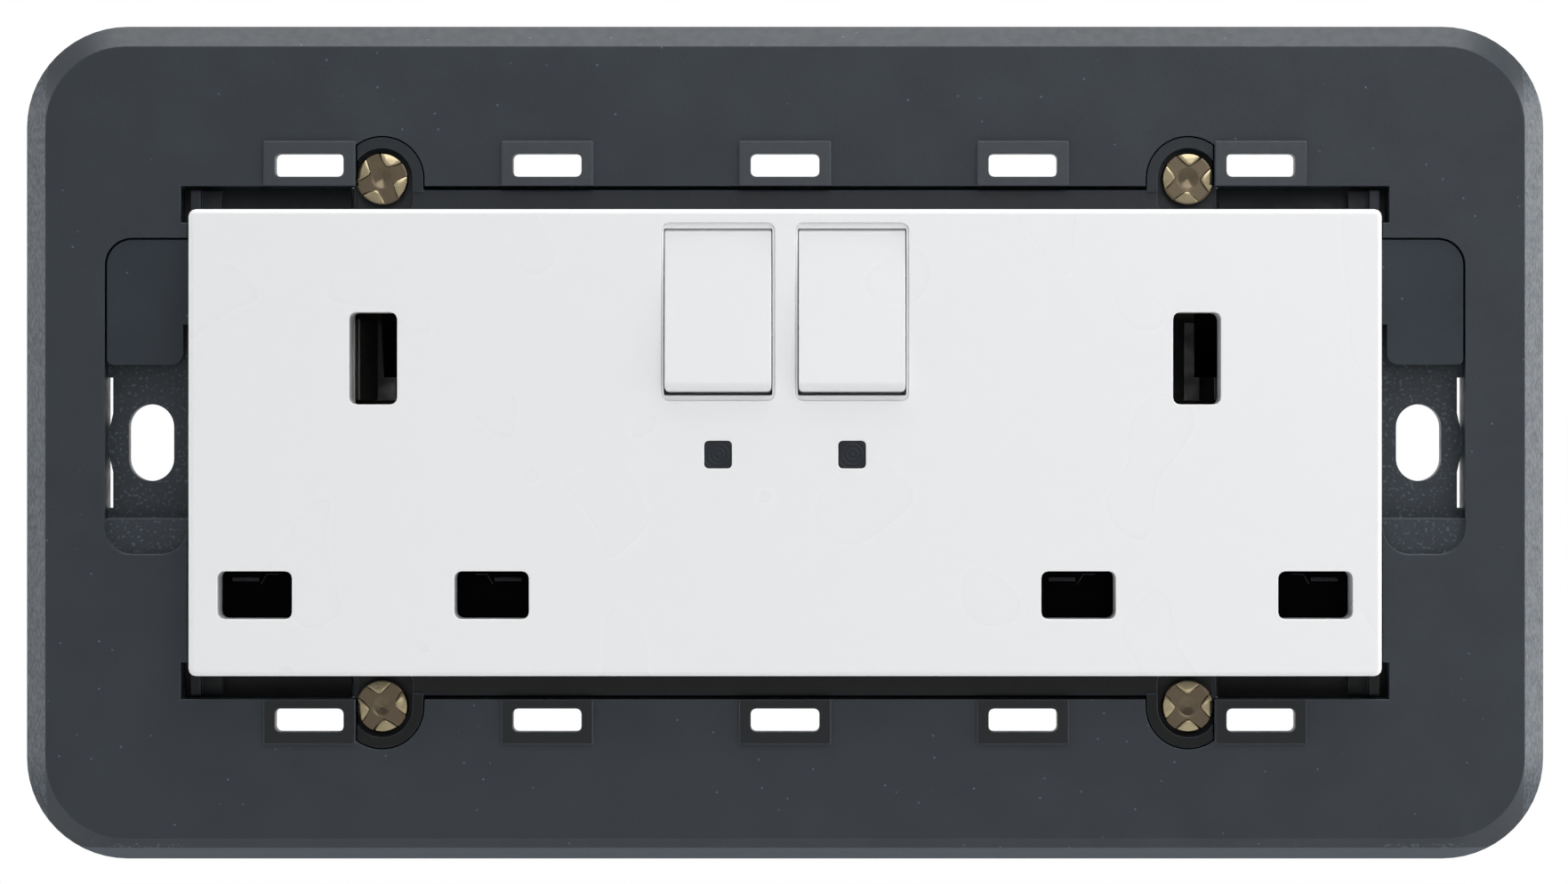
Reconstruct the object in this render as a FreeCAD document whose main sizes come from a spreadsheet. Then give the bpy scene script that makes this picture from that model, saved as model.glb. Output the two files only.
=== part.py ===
# Twin switched 13 A socket on its support frame, without a cover plate.
# Origin on the wall plane, midway between the two wall-fixing slots.
# X is to the right, Z is up and the front faces -Y. All lengths are in millimetres.
# A level is a distance in front of the wall plane, so a piece at level 5 lies at Y = -5.
import FreeCAD, Part
import math
import os
import Sketcher

V = FreeCAD.Vector
Turn = FreeCAD.Rotation
SIDES = (("left", -1), ("right", 1))
SHAPES_PER_SKETCH = 4
# Corners up to this radius are drawn as three chords
SMALL_CORNER = 1.0
HOLE_SIDES = 12
RUNS_PER_TURN = 6

# Driving dimensions: name, size, what it is
SIZES = (
    ("frame_width", 144.0, "support frame, overall width"),
    ("frame_height", 79.0, "support frame, overall height"),
    ("frame_corner", 9.6, "support frame, outline corner radius"),
    ("frame_bevel", 2.0, "support frame, bevel round the front"),
    ("frame_front", 5.0, "support frame, level of its front"),
    ("frame_wall", 1.8, "support frame, thickness of its walls"),
    ("rib_thickness", 1.2, "support frame, thickness of the ribs at the back"),
    ("opening_width", 113.2, "support frame, width of the opening"),
    ("opening_height", 48.6, "support frame, height of the opening"),
    ("notch_depth", 0.6, "support frame, corner notches of the opening, sideways"),
    ("notch_height", 3.5, "support frame, corner notches of the opening, height"),
    ("clip_pitch", 22.5, "cover clips, distance from slot to slot"),
    ("clip_height", 52.5, "cover clips, distance from the top row to the bottom row"),
    ("clip_slot_width", 6.5, "cover clips, slot width"),
    ("clip_slot_height", 2.2, "cover clips, slot height"),
    ("clip_slot_corner", 0.5, "cover clips, slot corner radius"),
    ("pad_width", 8.6, "cover clips, width of the raised pad"),
    ("pad_height", 4.2, "cover clips, height of the raised pad"),
    ("pad_rise", 0.5, "cover clips, how far the pad stands proud"),
    ("cavity_width", 11.4, "cover clips, width of the cavity behind the slot"),
    ("cavity_height", 5.4, "cover clips, height of the cavity behind the slot"),
    ("fixing_spacing", 120.6, "wall fixings, distance from slot to slot"),
    ("fixing_length", 7.3, "wall fixings, slot length"),
    ("fixing_width", 4.3, "wall fixings, slot width"),
    ("lug_thickness", 1.8, "wall fixings, thickness of the pocket floor"),
    ("pocket_width", 128.8, "side pockets, distance between their outer sides"),
    ("pocket_top", 19.4, "side pockets, height of the top"),
    ("pocket_corner", 2.6, "side pockets, corner radius"),
    ("pocket_bottom", -7.2, "side pockets, height of the deep part's bottom"),
    ("step_bottom", -10.6, "side pockets, height of the shallow part's bottom"),
    ("step_depth", 0.8, "side pockets, depth of the shallow part"),
    ("slit_width", 0.45, "side pockets, width of the slits in the floor"),
    ("slit_length", 6.2, "side pockets, length of each slit"),
    ("screw_spacing", 76.3, "carrier screws, distance sideways"),
    ("screw_height", 50.0, "carrier screws, distance from top to bottom"),
    ("screw_head_radius", 2.5, "carrier screws, head radius"),
    ("screw_head_height", 1.6, "carrier screws, head height"),
    ("screw_shank_radius", 1.45, "carrier screws, shank radius"),
    ("screw_length", 6.0, "carrier screws, length under the head"),
    ("ear_radius", 3.9, "carrier ears, outer radius"),
    ("ear_reach", 2.35, "carrier ears, distance from the screw to the flat outer side"),
    ("ear_front", 4.9, "carrier ears, level of the front"),
    ("ear_thickness", 2.3, "carrier ears, thickness"),
    ("well_radius", 2.9, "carrier ears, radius of the screw well"),
    ("well_depth", 1.3, "carrier ears, depth of the screw well"),
    ("seam", 0.15, "gap between the ears and the frame"),
    ("boss_radius", 2.8, "frame bosses for the carrier screws, half their width"),
    ("boss_depth", 3.0, "frame bosses, how far they reach behind the wall plane"),
    ("thread_clearance", 0.05, "radial gap between a screw and its hole"),
    ("carrier_thickness", 1.5, "carrier, thickness of its plate"),
    ("strip_front", 4.7, "carrier, level of the strips above and below the face"),
    ("carrier_gap", 0.3, "carrier, gap to the frame at the sides"),
    ("strip_gap", 0.4, "carrier, gap to the frame above and below"),
    ("plate_fit", 0.03, "carrier, gap between its plate and the frame"),
    ("block_front", 4.2, "carrier end blocks, level of the front"),
    ("block_width", 0.9, "carrier end blocks, width"),
    ("ledge_front", 2.8, "carrier ledges beside the end blocks, level of the front"),
    ("ledge_width", 1.9, "carrier ledges beside the end blocks, width"),
    ("wing_front", 4.8, "carrier wings, level of the front"),
    ("wing_thickness", 1.6, "carrier wings, thickness"),
    ("wing_bottom", 7.4, "carrier wings, height of the bottom edge"),
    ("wing_gap", 0.2, "carrier wings, gap to the pocket"),
    ("web_thickness", 1.3, "carrier wings, thickness of the web that carries them"),
    ("web_bottom", 11.2, "carrier wings, height of the web's lower end"),
    ("wing_notch", 0.7, "carrier wings, notch below the web"),
    ("face_level", 10.5, "white face, level of the front"),
    ("face_width", 111.9, "white face, width"),
    ("face_height", 43.8, "white face, height"),
    ("face_thickness", 2.4, "white face, thickness of the front wall"),
    ("skirt_wall", 1.2, "white face, thickness of the skirt"),
    ("face_corner", 0.7, "white face, corner radius"),
    ("face_edge", 0.5, "white face, radius of the front edge"),
    ("outlet_spacing", 77.2, "outlets, distance between the earth apertures"),
    ("earth_z", 7.9, "earth apertures, height of the centre"),
    ("pin_rise", 22.2, "earth aperture above the live and neutral apertures"),
    ("pin_spacing", 22.2, "distance between live and neutral apertures"),
    ("earth_hole_width", 4.5, "earth apertures, width"),
    ("earth_hole_height", 8.65, "earth apertures, height"),
    ("power_hole_width", 7.0, "live and neutral apertures, width"),
    ("power_hole_height", 4.5, "live and neutral apertures, height"),
    ("hole_corner", 0.65, "apertures, corner radius"),
    ("tunnel_wall", 1.0, "apertures, wall of the tunnel behind the face"),
    ("tunnel_depth", 5.0, "apertures, depth of the tunnel from the front"),
    ("rocker_spacing", 12.56, "rockers, distance between their centres"),
    ("rocker_z", 12.25, "rockers, height of the centre"),
    ("rocker_width", 10.0, "rockers, width"),
    ("rocker_height", 15.5, "rockers, height"),
    ("rocker_depth", 3.0, "rockers, depth of the cap"),
    ("rocker_edge", 0.8, "rockers, radius of the front edges"),
    ("rocker_proud", 0.3, "rockers, how far the middle of the cap stands proud"),
    ("rocker_tilt", 5.0, "rockers, tilt from level at either end, degrees"),
    ("well_width", 10.65, "rocker wells, width"),
    ("well_height", 16.7, "rocker wells, height"),
    ("well_corner", 0.7, "rocker wells, corner radius"),
    ("pivot_depth", 3.5, "rocker pivots, depth behind the face"),
    ("trunnion_radius", 0.9, "rocker trunnions, radius"),
    ("trunnion_clearance", 0.06, "rocker trunnions, radial gap in the bearing"),
    ("bearing_thickness", 1.2, "rocker bearings, thickness of the outer lugs"),
    ("bearing_half_height", 2.6, "rocker bearings, half the height of a lug"),
    ("bearing_reach", 3.2, "rocker bearings, how far a lug reaches behind the pivot"),
    ("stem_radius", 2.2, "rocker stems, outer radius"),
    ("stem_length", 7.4, "rocker stems, length behind the pivot"),
    ("plunger_radius", 1.3, "plungers, radius"),
    ("plunger_clearance", 0.06, "plungers, radial gap in the stem"),
    ("plunger_reach", 9.4, "plungers, distance from the rocker's pivot to the tip"),
    ("plunger_length", 4.6, "plungers, length"),
    ("plunger_wire", 0.25, "plunger springs, wire diameter"),
    ("plunger_turns", 5.0, "plunger springs, number of turns"),
    ("window_size", 2.6, "lamp windows, width and height"),
    ("window_z", -1.12, "lamp windows, height of the centre"),
    ("window_corner", 0.4, "lamp windows, corner radius"),
    ("lens_gap", 0.05, "lenses, gap round them in the window"),
    ("lens_recess", 0.15, "lenses, depth of the front below the face"),
    ("lens_flange", 0.8, "lenses, width and thickness of the flange"),
    ("lamp_radius", 1.5, "lamps, radius of the glass"),
    ("lamp_length", 7.0, "lamps, length of the glass"),
    ("lamp_gap", 0.1, "lamps, gap to the holder and the lens"),
    ("lamp_lead_radius", 0.25, "lamps, half the thickness of a lead"),
    ("holder_wall", 0.9, "lamp holders, wall"),
    ("holder_depth", 5.0, "lamp holders, depth behind the front of the plate"),
    ("housing_gap", 0.4, "rear housing, gap to the skirt"),
    ("housing_wall", 1.4, "rear housing, wall thickness"),
    ("housing_floor", 2.0, "rear housing, floor thickness"),
    ("housing_depth", 15.5, "rear housing, depth behind the wall plane"),
    ("housing_rim", 2.0, "rear housing, level of its rim"),
    ("housing_corner", 2.0, "rear housing, corner radius"),
    ("snap_reach", 0.8, "rear housing, how far the snap hooks stand out"),
    ("snap_height", 1.6, "rear housing, length of the snap hooks from front to back"),
    ("snap_width", 6.0, "rear housing, width of a snap hook"),
    ("snap_spacing", 44.0, "rear housing, distance between the snap hooks"),
    ("plate_gap", 0.1, "shutter plate, gap to the housing's rim"),
    ("plate_thickness", 1.2, "shutter plate, thickness"),
    ("shutter_gap", 0.2, "shutters, gap to the plate and to the tunnels"),
    ("shutter_travel", 5.4, "shutters, travel upwards"),
    ("shutter_cover", 0.7, "shutters, how far a flag covers past its aperture"),
    ("shutter_arm", 2.0, "shutters, width of the upright arm"),
    ("shutter_bar", 2.6, "shutters, height of the crossbar"),
    ("ramp_depth", 2.7, "shutters, how far the earth ramp reaches behind them"),
    ("ramp_side", 0.4, "shutters, distance from the ramp to the aperture's middle"),
    ("spring_radius", 1.25, "shutter springs, radius to the middle of the wire"),
    ("spring_wire", 0.4, "shutter springs, wire diameter"),
    ("spring_turns", 5.0, "shutter springs, number of turns"),
    ("spring_offset", 7.6, "shutter springs, distance from the outlet's middle"),
    ("spring_length", 11.4, "shutter springs, fitted length"),
    ("spring_seat", 1.2, "shutter springs, thickness of the stop on the plate"),
    ("sheet", 0.8, "contacts, thickness of the brass"),
    ("power_clip_width", 5.6, "live and neutral clips, width"),
    ("power_clip_opening", 3.2, "live and neutral clips, gap at the grip"),
    ("power_clip_base", 6.4, "live and neutral clips, height of the base"),
    ("power_clip_front", 1.5, "live and neutral clips, level of the mouth"),
    ("power_grip", -1.2, "live and neutral clips, level of the grip"),
    ("live_level", -8.6, "live clips and straps, level of the front side"),
    ("neutral_level", -10.6, "neutral clips and strap, level of the front side"),
    ("earth_level", -12.4, "earth clips and strap, level of the front side"),
    ("earth_clip_height", 7.7, "earth clips, height"),
    ("earth_clip_base", 6.4, "earth clips, width of the base"),
    ("earth_grip", -1.5, "earth clips, level of the grip"),
    ("earth_left_crest", -0.4, "earth clips, place of the left leaf's crest"),
    ("earth_right_crest", 1.2, "earth clips, place of the right leaf's crest"),
    ("strap_width", 2.5, "straps, width"),
    ("neutral_strap_z", -7.5, "neutral strap, height of its centre"),
    ("live_strap_x", 20.5, "left live strap, distance from the middle"),
    ("right_strap_x", 46.4, "right live strap, distance from the middle"),
    ("arm_z", 17.2, "fixed contact arms, height of the centre"),
    ("arm_width", 4.0, "fixed contact arms, width"),
    ("seesaw_gap", 0.2, "moving contacts, gap to the plunger at mid throw"),
    ("seesaw_width", 5.0, "moving contacts, width"),
    ("seesaw_below", 5.6, "moving contacts, length below the pivot"),
    ("seesaw_above", 6.1, "moving contacts, length above the pivot"),
    ("seesaw_tilt", 7.0, "moving contacts, tilt from level at either end, degrees"),
    ("knuckle_radius", 0.6, "moving contacts, radius of the knuckle in the cradle"),
    ("cradle_clearance", 0.06, "moving contacts, radial gap in the cradle"),
    ("cradle_width", 3.0, "cradles, width"),
    ("cradle_height", 2.6, "cradles, height"),
    ("tip_radius", 1.2, "silver tips, radius"),
    ("tip_height", 0.6, "silver tips, height"),
    ("tip_offset", 4.9, "silver tips, distance above the pivot"),
    ("tip_gap", 0.1, "silver tips, gap left when switched on"),
    ("terminal_pitch", 9.0, "terminals, distance from one to the next"),
    ("terminal_width", 7.0, "terminals, width"),
    ("terminal_height", 8.6, "terminals, height"),
    ("terminal_front", -3.5, "terminals, level of the front"),
    ("terminal_bottom", -18.7, "terminals, height of the bottom"),
    ("wire_radius", 2.1, "terminals, radius of the wire hole"),
    ("wire_depth", 7.2, "terminals, depth of the wire hole"),
    ("wire_level", -6.7, "terminals, level of the wire hole"),
    ("clamp_radius", 1.7, "clamp screws, shank radius"),
    ("clamp_head_radius", 2.2, "clamp screws, head radius"),
    ("clamp_head_height", 1.2, "clamp screws, head height"),
    ("clamp_z", -14.4, "clamp screws, height"),
    ("clamp_open", 1.6, "clamp screws, how far they are screwed out"),
    ("access_radius", 2.7, "rear housing, radius of the holes over the clamp screws"),
    ("wire_window", 6.0, "rear housing, size of the wire windows from front to back"),
    ("fin_width", 1.6, "rear housing, thickness of the fins between terminals"),
    ("fin_reach", 1.7, "rear housing, how far the outer fins stand out"),
    ("seat_gap", 0.1, "gap between a contact and the post that carries it"),
    ("post_radius", 2.4, "screw posts, half their width"),
    ("post_upper_x", 51.0, "upper screw posts, distance from the middle"),
    ("post_upper_z", 16.4, "upper screw posts, height"),
    ("post_lower_z", -16.4, "lower screw posts, height"),
    ("long_shank_radius", 1.35, "assembly screws, shank radius"),
    ("long_head_radius", 2.1, "assembly screws, head radius"),
    ("long_head_height", 1.3, "assembly screws, head height"),
    ("long_reach", 6.4, "assembly screws, level of the tip"),
)

doc = FreeCAD.newDocument("twin_socket")
sheet = doc.addObject("Spreadsheet::Sheet", "dim")
subparts = []


def fill_sheet():
    for row, (name, size, note) in enumerate(SIZES, 1):
        sheet.set(f"A{row}", note)
        sheet.set(f"B{row}", str(size))
        sheet.setAlias(f"B{row}", name)
    doc.recompute()


fill_sheet()

# Places worked out from the driving dimensions
FRAME_TOP = "dim.frame_height / 2"
OPENING_X = "dim.opening_width / 2"
OPENING_Z = "dim.opening_height / 2"
POCKET_X = "dim.pocket_width / 2"
SCREW_X = "dim.screw_spacing / 2"
SCREW_Z = "dim.screw_height / 2"
EAR_BACK = "(dim.ear_front - dim.ear_thickness)"
WELL_FLOOR = "(dim.ear_front - dim.well_depth)"
FACE_X = "dim.face_width / 2"
FACE_Z = "dim.face_height / 2"
FACE_BACK = "(dim.face_level - dim.face_thickness)"
TUNNEL_BACK = "(dim.face_level - dim.tunnel_depth)"
SKIRT_X = "(dim.face_width / 2 - dim.skirt_wall)"
SKIRT_Z = "(dim.face_height / 2 - dim.skirt_wall)"
HOUSING_X = f"({SKIRT_X} - dim.housing_gap)"
HOUSING_Z = f"({SKIRT_Z} - dim.housing_gap)"
CAVITY_X = f"({HOUSING_X} - dim.housing_wall)"
CAVITY_Z = f"({HOUSING_Z} - dim.housing_wall)"
FLOOR = "(dim.housing_floor - dim.housing_depth)"
CARRIER_X = f"({OPENING_X} - dim.carrier_gap)"
CARRIER_Z = f"({OPENING_Z} - dim.strip_gap)"
CARRIER_HOLE_X = f"({HOUSING_X} + 0.75 * dim.housing_gap)"
CARRIER_HOLE_Z = f"({HOUSING_Z} + 0.75 * dim.housing_gap)"
OUTLET_X = "dim.outlet_spacing / 2"
POWER_Z = "(dim.earth_z - dim.pin_rise)"
ROCKER_X = "dim.rocker_spacing / 2"
PIVOT = "(dim.face_level - dim.pivot_depth)"
PLATE_BACK = "(dim.housing_rim + dim.plate_gap)"
PLATE_FRONT = f"({PLATE_BACK} + dim.plate_thickness)"
SHUTTER_BACK = f"({PLATE_FRONT} + dim.shutter_gap)"
SHUTTER_FRONT = f"({TUNNEL_BACK} - dim.shutter_gap)"
SEESAW_FRONT = f"({PIVOT} - dim.plunger_reach - dim.seesaw_gap)"
SEESAW_PIVOT = f"({SEESAW_FRONT} - dim.sheet - 0.5 * dim.knuckle_radius)"
FEED_FRONT = f"({SEESAW_PIVOT} - 1.5 * dim.knuckle_radius)"
FEED_BACK = f"({FEED_FRONT} - dim.sheet)"
TERMINAL_TOP = "(dim.terminal_bottom + dim.terminal_height)"


def value(expression):
    return float(sheet.evalExpression(str(expression)))


# Sketching

def tie_point(sketch, rules, geometry, point, across, up):
    """Tie one point of the sketch to its two expressions."""
    for kind, expression in (("DistanceX", across), ("DistanceY", up)):
        rule = Sketcher.Constraint(kind, -1, 1, geometry, point, value(expression))
        rules.append((rule, expression))


def join(rules, first, first_end, second, second_end):
    rules.append((Sketcher.Constraint("Coincident", first, first_end, second, second_end), None))


def apply_rules(sketch, rules):
    numbers = sketch.addConstraint([rule for rule, expression in rules])
    for number, (rule, expression) in zip(numbers, rules):
        if expression is not None:
            sketch.setExpression(f"Constraints[{number}]", str(expression))


def step_sign(start, end):
    """Direction from one corner to the next along an axis, as -1, 0 or 1 each way."""
    return tuple(0 if abs(b - a) < 1e-6 else (1 if b > a else -1) for a, b in zip(start, end))


def chord_corner(corner, before, after):
    """A small round corner as the four points of three chords."""
    across, up, radius = corner
    points = []
    for degrees in (0, 30, 60, 90):
        back = round(math.sin(math.radians(degrees)) - 1, 6)
        on = round(1 - math.cos(math.radians(degrees)), 6)
        points.append((f"{across} + ({radius}) * ({back * before[0] + on * after[0]})",
                       f"{up} + ({radius}) * ({back * before[1] + on * after[1]})"))
    return points


def with_small_corners(corners):
    """The outline with every small round corner drawn as chords."""
    spots = [(value(corner[0]), value(corner[1])) for corner in corners]
    count = len(corners)
    points = []
    for i, corner in enumerate(corners):
        if len(corner) == 3 and value(corner[2]) <= SMALL_CORNER:
            before = step_sign(spots[i - 1], spots[i])
            points += chord_corner(corner, before, step_sign(spots[i], spots[(i + 1) % count]))
        else:
            points.append(corner)
    return points


def add_outline(sketch, corners):
    """A closed outline. A corner is (across, up), or (across, up, radius) between level and upright sides."""
    corners = with_small_corners(corners)
    spots = [(value(corner[0]), value(corner[1])) for corner in corners]
    count = len(corners)
    ends = []
    arcs = []
    for i, corner in enumerate(corners):
        if len(corner) == 2:
            ends.append((corner, corner))
            arcs.append(None)
            continue
        across, up, radius = corner
        before = step_sign(spots[i - 1], spots[i])
        after = step_sign(spots[i], spots[(i + 1) % count])
        first = (f"{across} - ({before[0]} * ({radius}))", f"{up} - ({before[1]} * ({radius}))")
        last = (f"{across} + ({after[0]} * ({radius}))", f"{up} + ({after[1]} * ({radius}))")
        ends.append((first, last))
        size = value(radius)
        middle = V(spots[i][0] + size * (after[0] - before[0]), spots[i][1] + size * (after[1] - before[1]), 0)
        left_turn = before[0] * after[1] - before[1] * after[0] > 0
        arcs.append((middle, radius, left_turn))
    rules = []
    lines = []
    for i in range(count):
        start = ends[i][1]
        end = ends[(i + 1) % count][0]
        a = V(value(start[0]), value(start[1]), 0)
        b = V(value(end[0]), value(end[1]), 0)
        line = sketch.addGeometry(Part.LineSegment(a, b), False)
        tie_point(sketch, rules, line, 1, *start)
        lines.append((line, a, b))
    for i in range(count):
        line, a, b = lines[i - 1]
        following, c, d = lines[i]
        if arcs[i] is None:
            join(rules, line, 2, following, 1)
            continue
        tie_point(sketch, rules, line, 2, *ends[i][0])
        middle, radius, left_turn = arcs[i]
        low, high = (b, c) if left_turn else (c, b)
        circle = Part.Circle(middle, V(0, 0, 1), value(radius))
        arc = Part.ArcOfCircle(circle, circle.parameter(low), circle.parameter(high))
        number = sketch.addGeometry(arc, False)
        join(rules, number, 1 if left_turn else 2, line, 2)
        join(rules, number, 2 if left_turn else 1, following, 1)
        rules.append((Sketcher.Constraint("Radius", number, value(radius)), radius))
    apply_rules(sketch, rules)


def add_circle(sketch, across, up, radius):
    middle = V(value(across), value(up), 0)
    number = sketch.addGeometry(Part.Circle(middle, V(0, 0, 1), value(radius)), False)
    rules = [(Sketcher.Constraint("Radius", number, value(radius)), radius)]
    tie_point(sketch, rules, number, 3, across, up)
    apply_rules(sketch, rules)


def add_upright_slot(sketch, across, up, width, length):
    """An oblong hole with round ends, long side upright."""
    half = f"({width}) / 2"
    rise = f"(({length}) - ({width})) / 2"
    radius = value(half)
    rules = []
    sides = []
    for sign in (-1, 1):
        low = (f"{across} + ({sign} * ({half}))", f"{up} - ({rise})")
        high = (low[0], f"{up} + ({rise})")
        a = V(value(low[0]), value(low[1]), 0)
        b = V(value(high[0]), value(high[1]), 0)
        line = sketch.addGeometry(Part.LineSegment(a, b), False)
        tie_point(sketch, rules, line, 1, *low)
        tie_point(sketch, rules, line, 2, *high)
        sides.append((line, a, b))
    (left, a, b), (right, c, d) = sides
    for sign, end, start_line, end_line, start, stop in ((1, 2, right, left, d, b), (-1, 1, left, right, a, c)):
        height = f"{up} + ({sign} * {rise})"
        circle = Part.Circle(V(value(across), value(height), 0), V(0, 0, 1), radius)
        arc = Part.ArcOfCircle(circle, circle.parameter(start), circle.parameter(stop))
        number = sketch.addGeometry(arc, False)
        join(rules, number, 1, start_line, end)
        join(rules, number, 2, end_line, end)
        rules.append((Sketcher.Constraint("DistanceY", -1, 1, number, 3, value(height)), height))
    apply_rules(sketch, rules)


def rectangle(left, bottom, right, top, radius=None):
    corners = ((left, bottom), (right, bottom), (right, top), (left, top))
    if radius is None:
        return (add_outline, corners)
    return (add_outline, tuple(corner + (radius,) for corner in corners))


def centred(across, up, width, height, radius=None):
    half_width = f"({width}) / 2"
    half_height = f"({height}) / 2"
    return rectangle(f"{across} - {half_width}", f"{up} - {half_height}",
                     f"{across} + {half_width}", f"{up} + {half_height}", radius)


def outline(*corners):
    return (add_outline, corners)


def circle(across, up, radius):
    return (add_circle, across, up, radius)


def upright_slot(across, up, width, length):
    return (add_upright_slot, across, up, width, length)


def many_sided(across, up, radius):
    """A hidden round hole or bar as a polygon whose flats lie at the radius."""
    reach = 1 / math.cos(math.pi / HOLE_SIDES)
    angles = [2 * math.pi * (i + 0.5) / HOLE_SIDES for i in range(HOLE_SIDES)]
    return outline(*[(f"{across} + ({radius}) * ({reach * math.cos(angle):.6f})",
                      f"{up} + ({radius}) * ({reach * math.sin(angle):.6f})") for angle in angles])


# Features of a body. A plane is XZ (levels run to the front), YZ (runs along X) or XY (runs up).

def new_body(label):
    body = doc.addObject("PartDesign::Body", label)
    body.Label = label
    return body


def new_sketch(body, name, plane, offset, shapes):
    sketch = body.newObject("Sketcher::SketchObject", name)
    face = [item for item in body.Origin.OriginFeatures if item.Role == f"{plane}_Plane"][0]
    sketch.AttachmentSupport = [(face, "")]
    sketch.MapMode = "FlatFace"
    sketch.setExpression("AttachmentOffset.Base.z", str(offset))
    for maker, *details in shapes:
        if maker is add_outline:
            add_outline(sketch, details[0])
        else:
            maker(sketch, *details)
    return sketch


def sweep_shapes(body, kind, name, plane, offset, depth, shapes):
    """Pads or pockets from sketches of a few shapes each, which solve quickly."""
    for number in range(0, len(shapes), SHAPES_PER_SKETCH):
        own = name if number == 0 else f"{name}_{number // SHAPES_PER_SKETCH + 1}"
        few = shapes[number:number + SHAPES_PER_SKETCH]
        sketch = new_sketch(body, f"{own}_sketch", plane, offset, few)
        feature = body.newObject(f"PartDesign::{kind}", own)
        feature.Profile = sketch
        feature.setExpression("Length", depth)
        feature.Refine = False
        sketch.Visibility = False
    return feature


def pad(body, name, start, end, *shapes, plane="XZ"):
    """Material between two levels."""
    return sweep_shapes(body, "Pad", name, plane, start, f"({end}) - ({start})", shapes)


def cut(body, name, start, end, *shapes, plane="XZ"):
    """A pocket between two levels, cut from the higher one down."""
    return sweep_shapes(body, "Pocket", name, plane, end, f"({end}) - ({start})", shapes)


def edges_of(feature, wanted):
    """Names of a feature's edges that pass a test."""
    return [f"Edge{number}" for number, edge in enumerate(feature.Shape.Edges, 1) if wanted(edge)]


def soften(body, name, kind, feature, size, wanted):
    """Fillet or chamfer the edges that pass a test."""
    doc.recompute()
    names = edges_of(feature, wanted)
    dressed = body.newObject(f"PartDesign::{kind}", name)
    dressed.Base = (feature, names)
    dressed.setExpression("Radius" if kind == "Fillet" else "Size", str(size))
    return dressed


def level_of(point):
    return -point.y


def lies_at_level(edge, level):
    """Whether the whole edge lies at one level."""
    return all(abs(level_of(vertex.Point) - level) < 1e-4 for vertex in edge.Vertexes)


def runs_along(edge, axis):
    """Whether a straight edge runs along an axis."""
    if edge.Curve.TypeId != "Part::GeomLine":
        return False
    return abs(abs(edge.Curve.Direction * axis) - 1) < 1e-6


def keep(label, thing):
    """Name a finished piece. A body merges the faces that lie in one plane."""
    thing.Label = label
    if thing.TypeId == "PartDesign::Body":
        thing.Tip.Refine = True
    subparts.append(thing)
    return thing


# Plain solids and sheet metal

def place(thing, across, level, up, turn=None):
    thing.Placement = FreeCAD.Placement(V(0, 0, 0), turn or Turn())
    thing.setExpression("Placement.Base.x", str(across))
    thing.setExpression("Placement.Base.y", f"-({level})")
    thing.setExpression("Placement.Base.z", str(up))


def block(name, left, right, back, front, bottom, top):
    box = doc.addObject("Part::Box", name)
    box.setExpression("Length", f"({right}) - ({left})")
    box.setExpression("Width", f"({front}) - ({back})")
    box.setExpression("Height", f"({top}) - ({bottom})")
    place(box, left, front, bottom)
    return box


def rod(name, axis, radius, start, end, across, up):
    """A round bar along X, Y (between two levels, at across and up) or Z (at across and the level up)."""
    bar = doc.addObject("Part::Cylinder", name)
    bar.setExpression("Radius", str(radius))
    bar.setExpression("Height", f"({end}) - ({start})")
    if axis == "X":
        place(bar, start, across, up, Turn(V(0, 1, 0), 90))
    elif axis == "Y":
        place(bar, across, start, up, Turn(V(1, 0, 0), 90))
    else:
        place(bar, across, up, start)
    return bar


def many_sided_bar(name, radius, start, end, across, up):
    """A many-sided bar between two levels."""
    bar = doc.addObject("Part::Prism", name)
    bar.Polygon = HOLE_SIDES
    bar.setExpression("Circumradius", str(radius))
    bar.setExpression("Height", f"({end}) - ({start})")
    place(bar, across, start, up, Turn(V(1, 0, 0), 90))
    return bar


def joined(name, *things):
    whole = doc.addObject("Part::MultiFuse", name)
    whole.Shapes = list(things)
    return whole


def without(name, base, *tools):
    tool = tools[0] if len(tools) == 1 else joined(f"{name}_tools", *tools)
    result = doc.addObject("Part::Cut", name)
    result.Base = base
    result.Tool = tool
    return result


def group(name, things):
    """Separate like solids as one piece."""
    together = doc.addObject("Part::Compound", name)
    together.Links = list(things)
    return together


def leaf(name, plane, points, across, up, start, length, side=1):
    """A bent strip of sheet: its edge follows the points, its width runs out of their plane."""
    path = doc.addObject("Sketcher::SketchObject", f"{name}_path")
    turns = {"YZ": Turn(V(1, 1, 1), 120), "XY": Turn()}
    path.Placement = FreeCAD.Placement(V(0, 0, 0), turns[plane])
    if plane == "YZ":
        path.setExpression("Placement.Base.x", str(start))
        path.setExpression("Placement.Base.z", str(up))
    else:
        path.setExpression("Placement.Base.x", str(across))
        path.setExpression("Placement.Base.z", str(start))
    spots = [V(value(a), value(b), 0) for a, b in points]
    rules = []
    for i in range(len(points) - 1):
        path.addGeometry(Part.LineSegment(spots[i], spots[i + 1]), False)
        tie_point(path, rules, i, 1, *points[i])
        if i:
            join(rules, i - 1, 2, i, 1)
    tie_point(path, rules, len(points) - 2, 2, *points[-1])
    apply_rules(path, rules)
    band = doc.addObject("Part::Offset2D", f"{name}_band")
    band.Source = path
    band.Mode = 0
    band.Join = 0
    band.Fill = True
    band.setExpression("Value", f"{side} * dim.sheet")
    strip = doc.addObject("Part::Extrusion", name)
    strip.Base = band
    strip.DirMode = "Custom"
    strip.Dir = V(1, 0, 0) if plane == "YZ" else V(0, 0, 1)
    strip.setExpression("LengthFwd", str(length))
    strip.Solid = True
    return strip


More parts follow.
